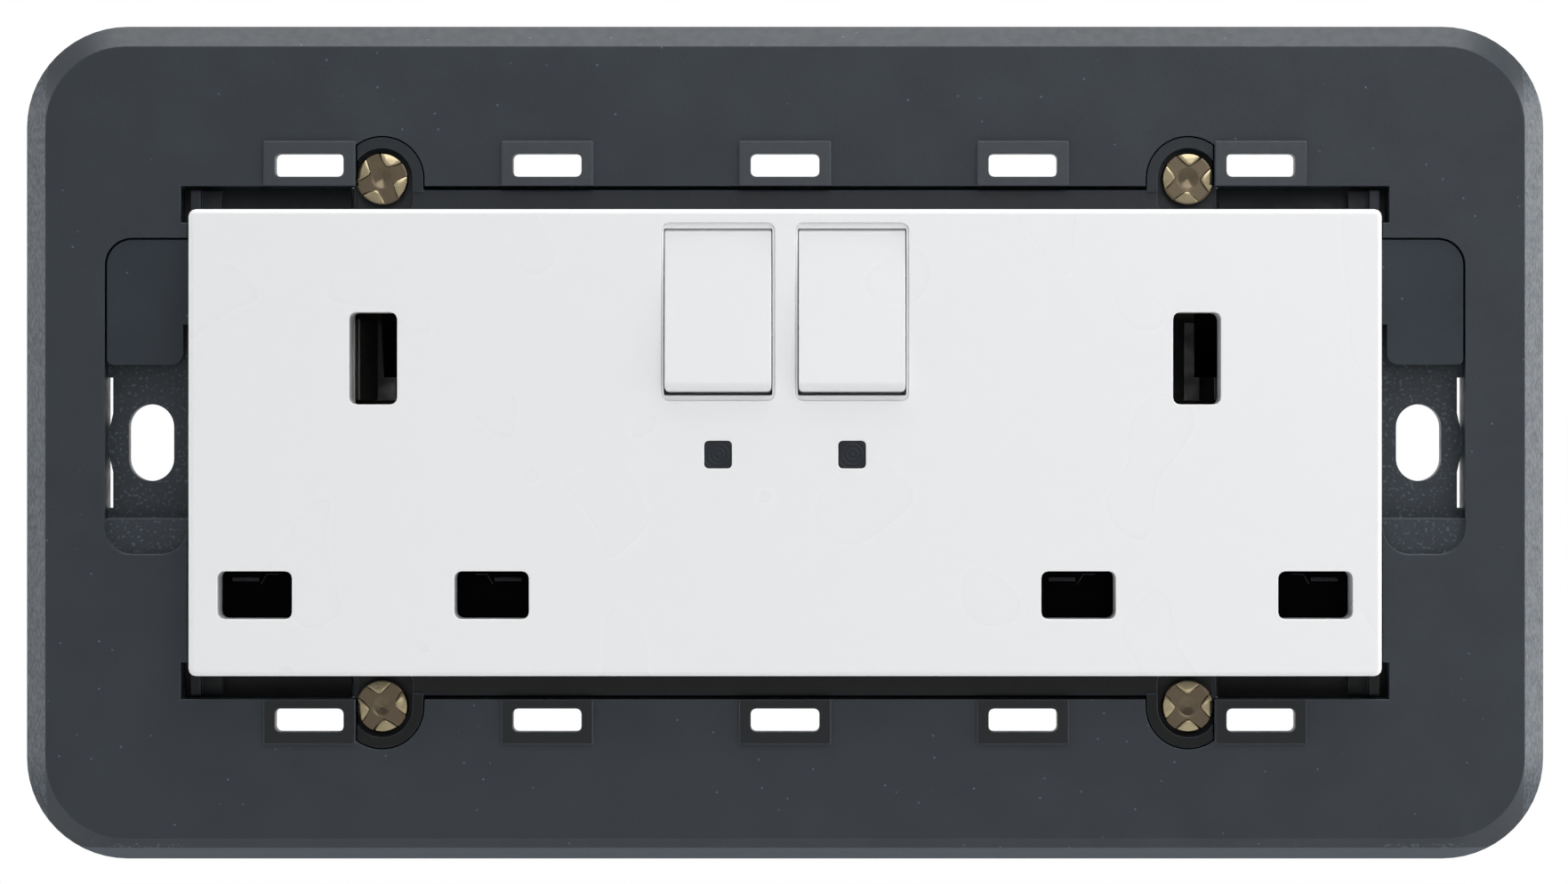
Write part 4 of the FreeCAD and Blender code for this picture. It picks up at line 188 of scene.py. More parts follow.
def noise(tree, where, feature, detail=2.0, stretch=None):
    """Noise whose features are about the given size in metres."""
    if stretch:
        mapping = tree.nodes.new("ShaderNodeMapping")
        mapping.inputs["Scale"].default_value = stretch
        tree.links.new(where, mapping.inputs["Vector"])
        where = mapping.outputs["Vector"]
    node = tree.nodes.new("ShaderNodeTexNoise")
    node.inputs["Scale"].default_value = 1.0 / feature
    node.inputs["Detail"].default_value = detail
    tree.links.new(where, node.inputs["Vector"])
    return node.outputs["Fac"]


def ramp(tree, factor, *stops):
    """A colour ramp with (position, colour) stops."""
    node = tree.nodes.new("ShaderNodeValToRGB")
    band = node.color_ramp
    while len(band.elements) < len(stops):
        band.elements.new(0.5)
    for element, (position, tint) in zip(band.elements, stops):
        element.position = position
        element.color = (*tint, 1.0)
    tree.links.new(factor, node.inputs["Fac"])
    return node.outputs["Color"]


def shade(tint, factor):
    """A colour made paler or darker."""
    return tuple(min(1.0, part * factor) for part in tint)


def bump(tree, surface, height, strength, distance, below=None):
    """A bump from a height, laid over another bump if there is one."""
    node = tree.nodes.new("ShaderNodeBump")
    node.inputs["Strength"].default_value = strength
    node.inputs["Distance"].default_value = distance
    tree.links.new(height, node.inputs["Height"])
    if below:
        tree.links.new(below, node.inputs["Normal"])
    tree.links.new(node.outputs["Normal"], surface.inputs["Normal"])
    return node.outputs["Normal"]


def softened_edges(tree, radius):
    """Light caught on narrow rounded edges."""
    node = tree.nodes.new("ShaderNodeBevel")
    node.samples = 6
    node.inputs["Radius"].default_value = radius
    return node.outputs["Normal"]


def lit_edges(tree, radius):
    """How far a place of the surface lies on an edge, from 0 to 1."""
    rounded = tree.nodes.new("ShaderNodeBevel")
    rounded.samples = 6
    rounded.inputs["Radius"].default_value = radius
    flat = tree.nodes.new("ShaderNodeNewGeometry")
    same = vector_calc(tree, "DOT_PRODUCT", rounded.outputs["Normal"], flat.outputs["True Normal"])
    return ramp(tree, same.outputs["Value"], (0.90, (1, 1, 1)), (0.985, (0, 0, 0)))


def calc(tree, operation, *terms):
    """A sum or the like of sockets and numbers, in a shader or a geometry tree."""
    node = tree.nodes.new("ShaderNodeMath")
    node.operation = operation
    for socket, term in zip(node.inputs, terms):
        if hasattr(term, "links"):
            tree.links.new(term, socket)
        else:
            socket.default_value = term
    return node.outputs[0]


def vector_calc(tree, operation, first, second=None):
    """The node of a sum or the like of vectors; the second may be a socket or a vector."""
    node = tree.nodes.new("ShaderNodeVectorMath")
    node.operation = operation
    tree.links.new(first, node.inputs[0])
    if hasattr(second, "links"):
        tree.links.new(second, node.inputs[1])
    elif second:
        node.inputs[1].default_value = second
    return node


def part_of(tree, where, axis):
    """One coordinate of a place."""
    parts = tree.nodes.new("ShaderNodeSeparateXYZ")
    tree.links.new(where, parts.inputs[0])
    return parts.outputs[axis]


def between(tree, where, axis, low, high):
    """1 where a coordinate lies between two values, else 0; from 0 on it counts to both sides."""
    part = part_of(tree, where, axis)
    if low >= 0:
        part = calc(tree, "ABSOLUTE", part)
    return calc(tree, "MULTIPLY", calc(tree, "GREATER_THAN", part, low), calc(tree, "LESS_THAN", part, high))


def mix_tints(tree, factor, first, second):
    """One colour over another by a factor; each may be a socket or a colour."""
    node = tree.nodes.new("ShaderNodeMix")
    node.data_type = "RGBA"
    tree.links.new(factor, node.inputs["Factor"])
    for socket, tint in ((node.inputs[6], first), (node.inputs[7], second)):
        if hasattr(tint, "links"):
            tree.links.new(tint, socket)
        else:
            socket.default_value = (*tint, 1.0)
    return node.outputs[2]


# Finishes

def leaned(tree, normal, where, mask, slope):
    """The normals of a masked face, leaned up in the upper half and down in the lower half."""
    half = calc(tree, "SIGN", part_of(tree, where, "Z"))
    lean = calc(tree, "MULTIPLY", calc(tree, "MULTIPLY", half, slope), mask)
    leaning = vector_calc(tree, "ADD", normal, vector(tree, z=lean))
    return vector_calc(tree, "NORMALIZE", leaning.outputs[0]).outputs[0]


def wear_and_lit_foot(tree, where, base, tint):
    """Pale flecks, dust in the frame's pockets, streaks on its side bevels and a foot bevel made paler as painted
    light from below, laid over a colour.
    """
    cells = tree.nodes.new("ShaderNodeTexVoronoi")
    cells.inputs["Scale"].default_value = 520.0
    tree.links.new(where, cells.inputs["Vector"])
    fleck = ramp(tree, cells.outputs["Distance"], (0.030, (1, 1, 1)), (0.065, (0, 0, 0)))
    base = mix_tints(tree, fleck, base, shade(tint, 4.0))
    dust = ramp(tree, noise(tree, where, 0.00035, 3.0), (0.56, (0, 0, 0)), (0.68, (1, 1, 1)))
    pockets = calc(tree, "MULTIPLY", between(tree, where, "X", *POCKET_X),
                   between(tree, where, "Z", -FAR, POCKET_TOP))
    pockets = calc(tree, "MULTIPLY", pockets, between(tree, where, "Y", *POCKET_Y))
    base = mix_tints(tree, calc(tree, "MULTIPLY", dust, pockets), base, shade(tint, 3.2))
    streak = ramp(tree, noise(tree, where, 0.00022, 2.0, (1.0, 1.0, 0.45)), (0.42, (0, 0, 0)), (0.60, (1, 1, 1)))
    # painted light: the downward foot bevel made paler, standing in for light bounced up from below
    foot = between(tree, where, "Z", -FAR, FOOT_BEVEL_Z)
    base = mix_tints(tree, foot, base, shade(tint, 2.6))
    ends = between(tree, where, "X", END_BEVEL_X, FAR)
    return mix_tints(tree, calc(tree, "MULTIPLY", streak, ends), base, shade(tint, 2.6))


def moulded_grey(name, tint, grain, gloss=0.3, specks_and_lit_foot=True, edge=3.0, lean=None):
    """Dark moulding with a fine grain and edges made paler as painted highlights.

    lean holds the axis and the two ends of a band of the piece, how far the normals lean in it,
    and how dark its upper and lower halves are; the darker lower half is painted shade.
    """
    material, tree, surface, where = start_finish(name)
    surface.inputs["Specular IOR Level"].default_value = gloss
    cloud = noise(tree, where, 0.006, 3.0)
    base = ramp(tree, cloud, (0.30, shade(tint, 0.90)), (0.70, shade(tint, 1.12)))
    if specks_and_lit_foot:
        base = wear_and_lit_foot(tree, where, base, tint)
    if lean:
        axis, low, high, slope, upper, lower = lean
        mask = between(tree, where, axis, low, high)
        base = mix_tints(tree, mask, base, shade(tint, upper))
        # painted shade: the band's lower half made darker
        under = calc(tree, "MULTIPLY", mask, between(tree, where, "Z", -FAR, 0.0))
        base = mix_tints(tree, under, base, shade(tint, lower))
    # painted highlight: edges made paler
    base = mix_tints(tree, lit_edges(tree, 0.00014), base, shade(tint, edge))
    tree.links.new(base, surface.inputs["Base Color"])
    sheen = noise(tree, where, 0.0009, 2.0)
    rough = ramp(tree, sheen, (0.35, (0.36, 0.36, 0.36)), (0.65, (0.46, 0.46, 0.46)))
    tree.links.new(rough, surface.inputs["Roughness"])
    edges = softened_edges(tree, 0.00018)
    if lean:
        edges = leaned(tree, edges, where, mask, slope)
    bump(tree, surface, noise(tree, where, grain, 2.0), 0.35, 0.00003, edges)
    return material


def gloss_white(name, tint, edge):
    """Glossy white moulding with the faint unevenness of a moulded face and edges made paler as painted highlights.
    """
    material, tree, surface, where = start_finish(name)
    cloud = noise(tree, where, 0.06, 0.0)
    base = ramp(tree, cloud, (0.3, shade(tint, 0.990)), (0.7, shade(tint, 1.0)))
    # painted highlight: edges made paler
    base = mix_tints(tree, lit_edges(tree, edge), base, (0.93, 0.935, 0.945))
    tree.links.new(base, surface.inputs["Base Color"])
    rough = ramp(tree, noise(tree, where, 0.010, 0.0), (0.3, (0.27, 0.27, 0.27)), (0.7, (0.30, 0.30, 0.30)))
    tree.links.new(rough, surface.inputs["Roughness"])
    bump(tree, surface, noise(tree, where, 0.0016, 2.0), 0.03, 0.00003, softened_edges(tree, edge))
    return material


def smoked_lens(name, tint, middle):
    """Smoked lens with fine rings round its middle."""
    material, tree, surface, where = start_finish(name)
    centre = tree.nodes.new("ShaderNodeMapping")
    centre.inputs["Location"].default_value = (-middle[0], 0.0, -middle[1])
    tree.links.new(where, centre.inputs["Vector"])
    flat = vector_calc(tree, "MULTIPLY", centre.outputs["Vector"], (1.0, 0.0, 1.0))
    reach = vector_calc(tree, "LENGTH", flat.outputs["Vector"])
    rings = calc(tree, "SINE", calc(tree, "MULTIPLY", reach.outputs["Value"], 2 * math.pi / LENS_RING))
    tone = ramp(tree, rings, (0.0, shade(tint, 0.85)), (1.0, shade(tint, 1.25)))
    tree.links.new(tone, surface.inputs["Base Color"])
    surface.inputs["Roughness"].default_value = 0.30
    surface.inputs["Specular IOR Level"].default_value = 0.25
    bump(tree, surface, rings, 0.25, 0.00003, softened_edges(tree, 0.00015))
    return material


def sheet_metal(name, tint, roughness, stretch=(1.0, 1.0, 1.0), tarnish=0.75, sunk=None):
    """Rolled or drawn metal with faint tarnish.

    sunk holds the colour of what lies deep, which is painted shade, the level up to which it reaches and the level
    from which on the metal has its own.
    """
    material, tree, surface, where = start_finish(name)
    cloud = noise(tree, where, 0.0035, 4.0)
    base = ramp(tree, cloud, (0.30, shade(tint, tarnish)), (0.68, tint))
    if sunk:
        dark, back, front = sunk
        depth = front - back
        height = calc(tree, "MULTIPLY_ADD", part_of(tree, where, "Y"), -1.0 / depth, -back / depth)
        # painted shade: what lies deep is made darker
        base = mix_tints(tree, ramp(tree, height, (0.0, (0, 0, 0)), (1.0, (1, 1, 1))), dark, base)
    tree.links.new(base, surface.inputs["Base Color"])
    surface.inputs["Metallic"].default_value = 1.0
    lines = noise(tree, where, 0.0008, 3.0, stretch)
    rough = ramp(tree, lines, (0.3, (roughness * 0.8,) * 3), (0.7, (roughness * 1.3,) * 3))
    tree.links.new(rough, surface.inputs["Roughness"])
    bump(tree, surface, lines, 0.15, 0.00003, softened_edges(tree, 0.00012))
    return material


def clear_glass(name):
    """Thin clear glass of a small lamp, a little amber at the ends."""
    material, tree, surface, where = start_finish(name)
    cloud = noise(tree, where, 0.002, 1.0)
    base = ramp(tree, cloud, (0.3, (0.95, 0.80, 0.66)), (0.7, (0.98, 0.90, 0.82)))
    tree.links.new(base, surface.inputs["Base Color"])
    surface.inputs["Transmission Weight"].default_value = 0.85
    surface.inputs["Roughness"].default_value = 0.05
    surface.inputs["IOR"].default_value = 1.45
    return material


def dress(node, material):
    """Give a solid its finish."""
    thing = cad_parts[node]
    thing.data.materials.clear()
    thing.data.materials.append(material)


# Pieces

def new_piece(name, build, material, body):
    """A plain mesh piece that rides on a body."""
    mesh = bpy.data.meshes.new(name)
    bmesh.ops.recalc_face_normals(build, faces=build.faces)
    build.to_mesh(mesh)
    build.free()
    mesh.materials.append(material)
    piece = bpy.data.objects.new(name, mesh)
    bpy.context.scene.collection.objects.link(piece)
    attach(piece, body)
    return piece


def bar_between(build, start, end, width, back, front):
    """A low bar with bevelled sides between two points of the front view."""
    along = Vector((end[0] - start[0], 0, end[1] - start[1])).normalized()
    aside = Vector((-along.z, 0, along.x)) * width / 2
    ends = (Vector((start[0], 0, start[1])), Vector((end[0], 0, end[1])))
    rows = []
    for level, share in ((back, 1.0), (front, 0.6)):
        inset = along * (1 - share) * width / 2
        for point, way in zip(ends, (1, -1)):
            for hand in (-1, 1):
                corner = point + inset * way + aside * hand * share
                rows.append(build.verts.new((corner.x, level, corner.z)))
    a, b, c, d, e, f, g, h = rows
    for face in ((e, f, h, g), (a, b, f, e), (c, d, h, g), (a, c, g, e), (b, d, h, f), (a, b, d, c)):
        build.faces.new(face)


def shutter_lines(side, sign, material):
    """The raised bar and the slanted edge seen through each live and neutral aperture."""
    build = bmesh.new()
    for pole in (-1, 1):
        middle = sign * OUTLET_X + pole * POLE_X
        bar_between(build, (middle + pole * 0.00257, -0.01291), (middle + pole * 0.00003, -0.01291), 0.00038,
                    -0.00530, -0.00538)
        bar_between(build, (middle - pole * 0.00064, -0.01255), (middle - pole * 0.00013, -0.01338), 0.00010,
                    -0.00530, -0.00536)
        bar_between(build, (middle - pole * 0.00062, -0.01245), (middle - pole * 0.00180, -0.01245), 0.00008,
                    -0.00530, -0.00535)
    new_piece(f"shutter_lines_{side}", build, material, f"shutter_{side}")


def round_cornered(half_x, half_z, radius, steps=5):
    """Points round a rectangle with rounded corners."""
    points = []
    for quarter in range(4):
        across, up = ((1, 1), (-1, 1), (-1, -1), (1, -1))[quarter]
        for step in range(steps + 1):
            angle = math.pi / 2 * (quarter + step / steps)
            points.append((across * (half_x - radius) + radius * math.cos(angle),
                           up * (half_z - radius) + radius * math.sin(angle)))
    return points


def well_lip(side, sign, wells, material):
    """The lip inside a rocker well, which closes the gap round the rocker."""
    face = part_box("front_cover")[0][1]
    middle_x, middle_z = sign * ROCKER_X, ROCKER_Z
    outer = round_cornered(wells.half_width - 0.00001, wells.half_height - 0.00001, 0.0007)
    inner = round_cornered(wells.half_width - wells.side_lip, wells.half_height - wells.end_lip, 0.00015)
    soft = round_cornered(wells.half_width - wells.side_lip + 0.00005, wells.half_height - wells.end_lip + 0.00005,
                          0.00018)
    front, back = face + wells.depth, face + wells.depth + 0.00015
    build = bmesh.new()
    loops = []
    for points, level in ((outer, back), (outer, front), (soft, front), (inner, front + 0.00005), (inner, back)):
        loops.append([build.verts.new((middle_x + x, level, middle_z + z)) for x, z in points])
    for first, second in zip(loops, loops[1:] + loops[:1]):
        for i in range(len(first)):
            j = (i + 1) % len(first)
            build.faces.new((first[i], first[j], second[j], second[i]))
    new_piece(f"well_lip_{side}", build, material, "base")


def well_shelves(side, sign, material):
    """The steps behind the ends of a rocker, which close the well's view to the back.

    The section gives how far its corners lie from the rocker's middle, and their levels.
    """
    middle_x, middle_z = sign * ROCKER_X, ROCKER_Z
    section = ((0.00824, 0.00809), (0.00844, 0.00809), (0.00844, 0.0063), (0.0073, 0.0063), (0.0073, 0.0067),
               (0.0074, 0.0068), (0.00816, 0.0068), (0.00824, 0.0069))
    build = bmesh.new()
    for end in (-1, 1):
        rows = [[build.verts.new((middle_x + x, -level, middle_z + end * z)) for z, level in section]
                for x in (-0.0052, 0.0052)]
        for i in range(len(section)):
            j = (i + 1) % len(section)
            build.faces.new((rows[0][i], rows[0][j], rows[1][j], rows[1][i]))
        build.faces.new(rows[0])
        build.faces.new(rows[1])
    new_piece(f"well_shelves_{side}", build, material, "base")


def boss_fillers(material):
    """The webs between the frame's bosses and the carrier plate."""
    gap, low, high = 0.0411, 0.02192, 0.02428
    build = bmesh.new()
    for across in (-1, 1):
        for up in (-1, 1):
            bar_between(build, (across * gap, up * low), (across * gap, up * high), 0.00026, -0.0002, -0.0013)
    new_piece("boss_fillers", build, material, "base")


# Geometry trees

def new_tree(name, sizes):
    """A geometry tree whose inputs are (label, kind) pairs, with its group's input and output."""
    tree = bpy.data.node_groups.new(name, "GeometryNodeTree")
    tree.interface.new_socket("Geometry", in_out="OUTPUT", socket_type="NodeSocketGeometry")
    for label, kind in sizes:
        tree.interface.new_socket(label, in_out="INPUT", socket_type=kind)
    given = tree.nodes.new("NodeGroupInput")
    return tree, given.outputs, tree.nodes.new("NodeGroupOutput")


def vector(tree, x=0.0, y=0.0, z=0.0):
    """A vector from sockets and numbers."""
    node = tree.nodes.new("ShaderNodeCombineXYZ")
    for socket, term in zip(node.inputs, (x, y, z)):
        if hasattr(term, "links"):
            tree.links.new(term, socket)
        else:
            socket.default_value = term
    return node.outputs[0]


def patch(tree, columns, rows):
    """A grid to be bent, with its two coordinates from 0 to 1."""
    grid = tree.nodes.new("GeometryNodeMeshGrid")
    for label, count in (("Size X", 1.0), ("Size Y", 1.0), ("Vertices X", columns), ("Vertices Y", rows)):
        grid.inputs[label].default_value = count
    here = tree.nodes.new("GeometryNodeInputPosition")
    parts = tree.nodes.new("ShaderNodeSeparateXYZ")
    tree.links.new(here.outputs[0], parts.inputs[0])
    along = calc(tree, "ADD", parts.outputs[0], 0.5)
    around = calc(tree, "ADD", parts.outputs[1], 0.5)
    return grid.outputs["Mesh"], along, around


def bent(tree, mesh, radius, angle, height):
    """The grid's points moved to a radius, an angle and a height."""
    node = tree.nodes.new("GeometryNodeSetPosition")
    tree.links.new(mesh, node.inputs["Geometry"])
    across = calc(tree, "MULTIPLY", radius, calc(tree, "COSINE", angle))
    up = calc(tree, "MULTIPLY", radius, calc(tree, "SINE", angle))
    tree.links.new(vector(tree, across, up, height), node.inputs["Position"])
    return node.outputs["Geometry"]


def finished(tree, geometry, material, output):
    """Weld, smooth, realise and colour what a tree makes."""
    for kind in ("GeometryNodeRealizeInstances", "GeometryNodeMergeByDistance", "GeometryNodeSetShadeSmooth",
                 "GeometryNodeSetMaterial"):
        node = tree.nodes.new(kind)
        tree.links.new(geometry, node.inputs["Geometry"])
        geometry = node.outputs["Geometry"]
        if kind == "GeometryNodeMergeByDistance":
            node.inputs["Distance"].default_value = 0.000001
    node.inputs["Material"].default_value = material
    tree.links.new(geometry, output.inputs[0])


def grown(name, tree, values, body):
    """Run a tree on an empty mesh and keep the result as a plain mesh on a body."""
    seedling = bpy.data.objects.new(f"{name}_tree", bpy.data.meshes.new(f"{name}_empty"))
    bpy.context.scene.collection.objects.link(seedling)
    modifier = seedling.modifiers.new(name, "NODES")
    modifier.node_group = tree
    places = {item.name: item.identifier for item in tree.interface.items_tree
              if item.item_type == "SOCKET" and item.in_out == "INPUT"}
    for label, number in values.items():
        modifier[places[label]] = number
    shown = seedling.evaluated_get(bpy.context.evaluated_depsgraph_get())
    mesh = bpy.data.meshes.new_from_object(shown)
    mesh.name = name
    bpy.data.objects.remove(seedling)
    piece = bpy.data.objects.new(name, mesh)
    bpy.context.scene.collection.objects.link(piece)
    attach(piece, body)
    return piece


def screw_tree(material):
    """Four pan-head screws with four domed petals each round a cross recess."""
    real = "NodeSocketFloat"
    tree, given, output = new_tree("pan_head_screws", (
        ("Head radius", real), ("Head height", real), ("Arm width", real), ("Recess depth", real),
        ("Shank radius", real), ("Shank length", real), ("Pitch", real), ("Turn", real), ("Spread", real),
        ("Spacing", real), ("Row height", real), ("Seat", real), ("Seed", "NodeSocketInt")))
    radius, height = given["Head radius"], given["Head height"]
    half_arm = calc(tree, "MULTIPLY", given["Arm width"], 0.5)
    floor = calc(tree, "SUBTRACT", height, given["Recess depth"])

    # one petal, between two arms of the recess; its powers set how tightly it rounds off
    crown_fall, side_power, rim_power, pillow_power = 0.26, 5.0, 9.0, 0.32
    mesh, along, around = patch(tree, 18, 18)
    nearest = calc(tree, "MULTIPLY", half_arm, 1.95)
    reach = calc(tree, "MULTIPLY_ADD", calc(tree, "SUBTRACT", radius, nearest), along, nearest)
    straight = calc(tree, "SUBTRACT", math.pi / 4, calc(tree, "ARCSINE", calc(tree, "DIVIDE", half_arm, reach)))
    opening = calc(tree, "SQRT", calc(tree, "SUBTRACT", 1.0, calc(
        tree, "POWER", calc(tree, "SUBTRACT", 1.0, along), 4.0)))
    start = calc(tree, "SUBTRACT", math.pi / 4, calc(tree, "MULTIPLY", straight, opening))
    sweep = calc(tree, "SUBTRACT", math.pi / 2, calc(tree, "MULTIPLY", start, 2.0))
    angle = calc(tree, "MULTIPLY_ADD", sweep, around, start)
    share = calc(tree, "DIVIDE", reach, radius)
    crown = calc(tree, "MULTIPLY", height, calc(tree, "SUBTRACT", 1.0, calc(tree, "MULTIPLY", calc(
        tree, "MULTIPLY", share, share), crown_fall)))
    side = calc(tree, "ABSOLUTE", calc(tree, "MULTIPLY_ADD", around, 2.0, -1.0))
    rise = calc(tree, "SUBTRACT", 1.0, calc(tree, "POWER", side, side_power))
    rim = calc(tree, "SUBTRACT", 1.0, calc(tree, "POWER", along, rim_power))
    tip = calc(tree, "SUBTRACT", 1.0, calc(tree, "POWER", calc(tree, "SUBTRACT", 1.0, along), rim_power))
    pillow = calc(tree, "POWER", calc(tree, "MAXIMUM", calc(tree, "MULTIPLY", calc(
        tree, "MULTIPLY", rise, rim), tip), 0.0), pillow_power)
    top = calc(tree, "MULTIPLY_ADD", calc(tree, "SUBTRACT", crown, floor), pillow, floor)
    petal = bent(tree, mesh, reach, angle, top)
    ring = tree.nodes.new("GeometryNodeMeshCircle")
    ring.inputs["Vertices"].default_value = 4
    ring.inputs["Radius"].default_value = 0.0
    number = tree.nodes.new("GeometryNodeInputIndex")
    petals = tree.nodes.new("GeometryNodeInstanceOnPoints")
    tree.links.new(ring.outputs["Mesh"], petals.inputs["Points"])
    tree.links.new(petal, petals.inputs["Instance"])
    tree.links.new(vector(tree, z=calc(tree, "MULTIPLY", number.outputs[0], math.pi / 2)), petals.inputs["Rotation"])

    # the head's foot, with the recess's floor sunk in the middle
    mesh, along, around = patch(tree, 22, 65)
    reach = calc(tree, "MULTIPLY", radius, calc(tree, "MINIMUM", calc(tree, "MULTIPLY", along, 1.25), 1.0))
    dip = calc(tree, "MAXIMUM", calc(tree, "SUBTRACT", 1.0, calc(tree, "MULTIPLY", along, 3.4)), 0.0)
    edge = calc(tree, "MINIMUM", calc(tree, "MULTIPLY", calc(tree, "SUBTRACT", 1.0, along), 5.0), 1.0)
    level = calc(tree, "SUBTRACT", calc(tree, "MULTIPLY", floor, edge), calc(tree, "MULTIPLY", dip, calc(
        tree, "MULTIPLY", floor, 0.55)))
    foot = bent(tree, mesh, reach, calc(tree, "MULTIPLY", around, 2 * math.pi), level)

    # the shank, with a fine thread and a pointed end
    mesh, along, around = patch(tree, 100, 33)
    depth = calc(tree, "MULTIPLY", along, given["Shank length"])
    angle = calc(tree, "MULTIPLY", around, 2 * math.pi)
    wave = calc(tree, "SINE", calc(tree, "ADD", calc(tree, "MULTIPLY", calc(
        tree, "DIVIDE", depth, given["Pitch"]), 2 * math.pi), angle))
    end = calc(tree, "MINIMUM", calc(tree, "MULTIPLY", calc(tree, "SUBTRACT", 1.0, along), 6.0), 1.0)
    thread = calc(tree, "MULTIPLY_ADD", calc(tree, "SUBTRACT", wave, 1.0), 0.05, 1.0)
    reach = calc(tree, "MULTIPLY", calc(tree, "MULTIPLY", given["Shank radius"], thread), end)
    shank = bent(tree, mesh, reach, angle, calc(tree, "MULTIPLY", depth, -1.0))

    whole = tree.nodes.new("GeometryNodeJoinGeometry")
    for part in (petals.outputs["Instances"], foot, shank):
        tree.links.new(part, whole.inputs["Geometry"])
    spots = tree.nodes.new("GeometryNodeMeshGrid")
    tree.links.new(given["Spacing"], spots.inputs["Size X"])
    tree.links.new(given["Row height"], spots.inputs["Size Y"])
    for label in ("Vertices X", "Vertices Y"):
        spots.inputs[label].default_value = 2
    upright = tree.nodes.new("GeometryNodeTransform")
    tree.links.new(spots.outputs["Mesh"], upright.inputs["Geometry"])
    upright.inputs["Rotation"].default_value = (math.pi / 2, 0, 0)
    tree.links.new(vector(tree, y=given["Seat"]), upright.inputs["Translation"])
    screws = tree.nodes.new("GeometryNodeInstanceOnPoints")
    tree.links.new(upright.outputs["Geometry"], screws.inputs["Points"])
    tree.links.new(whole.outputs["Geometry"], screws.inputs["Instance"])
    screws.inputs["Rotation"].default_value = (math.pi / 2, 0, 0)
    chance = tree.nodes.new("FunctionNodeRandomValue")
    chance.data_type = "FLOAT"
    tree.links.new(given["Seed"], chance.inputs["Seed"])
    turn = calc(tree, "MULTIPLY_ADD", chance.outputs[1], given["Spread"], given["Turn"])
    turned = tree.nodes.new("GeometryNodeRotateInstances")
    tree.links.new(screws.outputs["Instances"], turned.inputs["Instances"])
    tree.links.new(vector(tree, z=turn), turned.inputs["Rotation"])
    turned.inputs["Local Space"].default_value = True
    finished(tree, turned.outputs["Instances"], material, output)
    return tree


def spring_tree(material):
    """A coil spring of round wire, wound up its own axis and then put in place."""
    real = "NodeSocketFloat"
    tree, given, output = new_tree("coil_spring", (
        ("Radius", real), ("Wire", real), ("Turns", real), ("Length", real),
        ("Place", "NodeSocketVector"), ("Lean", "NodeSocketVector")))
    line = tree.nodes.new("GeometryNodeCurveSpiral")
    line.inputs["Resolution"].default_value = 24
    for label, source in (("Rotations", "Turns"), ("Start Radius", "Radius"), ("End Radius", "Radius"),
                          ("Height", "Length")):
        tree.links.new(given[source], line.inputs[label])
    section = tree.nodes.new("GeometryNodeCurvePrimitiveCircle")
    section.inputs["Resolution"].default_value = 10
    tree.links.new(calc(tree, "MULTIPLY", given["Wire"], 0.5), section.inputs["Radius"])
    wire = tree.nodes.new("GeometryNodeCurveToMesh")
    tree.links.new(line.outputs["Curve"], wire.inputs["Curve"])
    tree.links.new(section.outputs["Curve"], wire.inputs["Profile Curve"])
    wire.inputs["Fill Caps"].default_value = True
    centred = tree.nodes.new("GeometryNodeTransform")
    tree.links.new(wire.outputs["Mesh"], centred.inputs["Geometry"])
    tree.links.new(vector(tree, z=calc(tree, "MULTIPLY", given["Length"], -0.5)), centred.inputs["Translation"])
    placed = tree.nodes.new("GeometryNodeTransform")
    tree.links.new(centred.outputs["Geometry"], placed.inputs["Geometry"])
    tree.links.new(given["Place"], placed.inputs["Translation"])
    tree.links.new(given["Lean"], placed.inputs["Rotation"])
    finished(tree, placed.outputs["Geometry"], material, output)
    return tree


# Operators

class SOCKET_OT_grey_mouldings(bpy.types.Operator):
    """Finish the support frame and the mechanism carrier."""
    bl_idname = "socket.grey_mouldings"
    bl_label = "Grey mouldings"

    def execute(self, context):
        plastic = context.scene.socket_plastic
        # painted shade: the frame's raised pads made darker in their lower half
        grey = moulded_grey("frame_moulding", plastic.frame_grey, plastic.grain, 0.25,
                            lean=("Y", -FAR, PAD_Y, 0.26, 0.9, 0.2))
        dress("support_frame", grey)
        boss_fillers(grey)
        # painted shade: the carrier strip below the white face made darker
        dress("mechanism_carrier", moulded_grey("carrier_moulding", plastic.carrier_grey, plastic.grain, 0.2,
                                                lean=("Z", STRIP_Z, FAR, 0.16, 0.45, 0.05)))
        return {"FINISHED"}


class SOCKET_OT_white_mouldings(bpy.types.Operator):
    """Finish the white face and the rockers."""
    bl_idname = "socket.white_mouldings"
    bl_label = "White mouldings"

    def execute(self, context):
        plastic = context.scene.socket_plastic
        dress("front_cover", gloss_white("face_moulding", plastic.face_white, 0.0002))
        rocker = gloss_white("rocker_moulding", plastic.rocker_white, 0.0002)
        for side, _ in SIDES:
            dress(f"rocker_{side}", rocker)
        return {"FINISHED"}


class SOCKET_OT_lamps(bpy.types.Operator):
    """Finish the lamp windows and the lamps behind them."""
    bl_idname = "socket.lamps"
    bl_label = "Lamps"

    def execute(self, context):
        plastic = context.scene.socket_plastic
        glass = clear_glass("lamp_glass")
        for side, _ in SIDES:
            low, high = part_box(f"lens_{side}")
            middle = ((low[0] + high[0]) / 2, (low[2] + high[2]) / 2)
            dress(f"lens_{side}", smoked_lens(f"lens_smoke_{side}", plastic.lens_smoke, middle))
            dress(f"neon_lamp_{side}", glass)
        return {"FINISHED"}


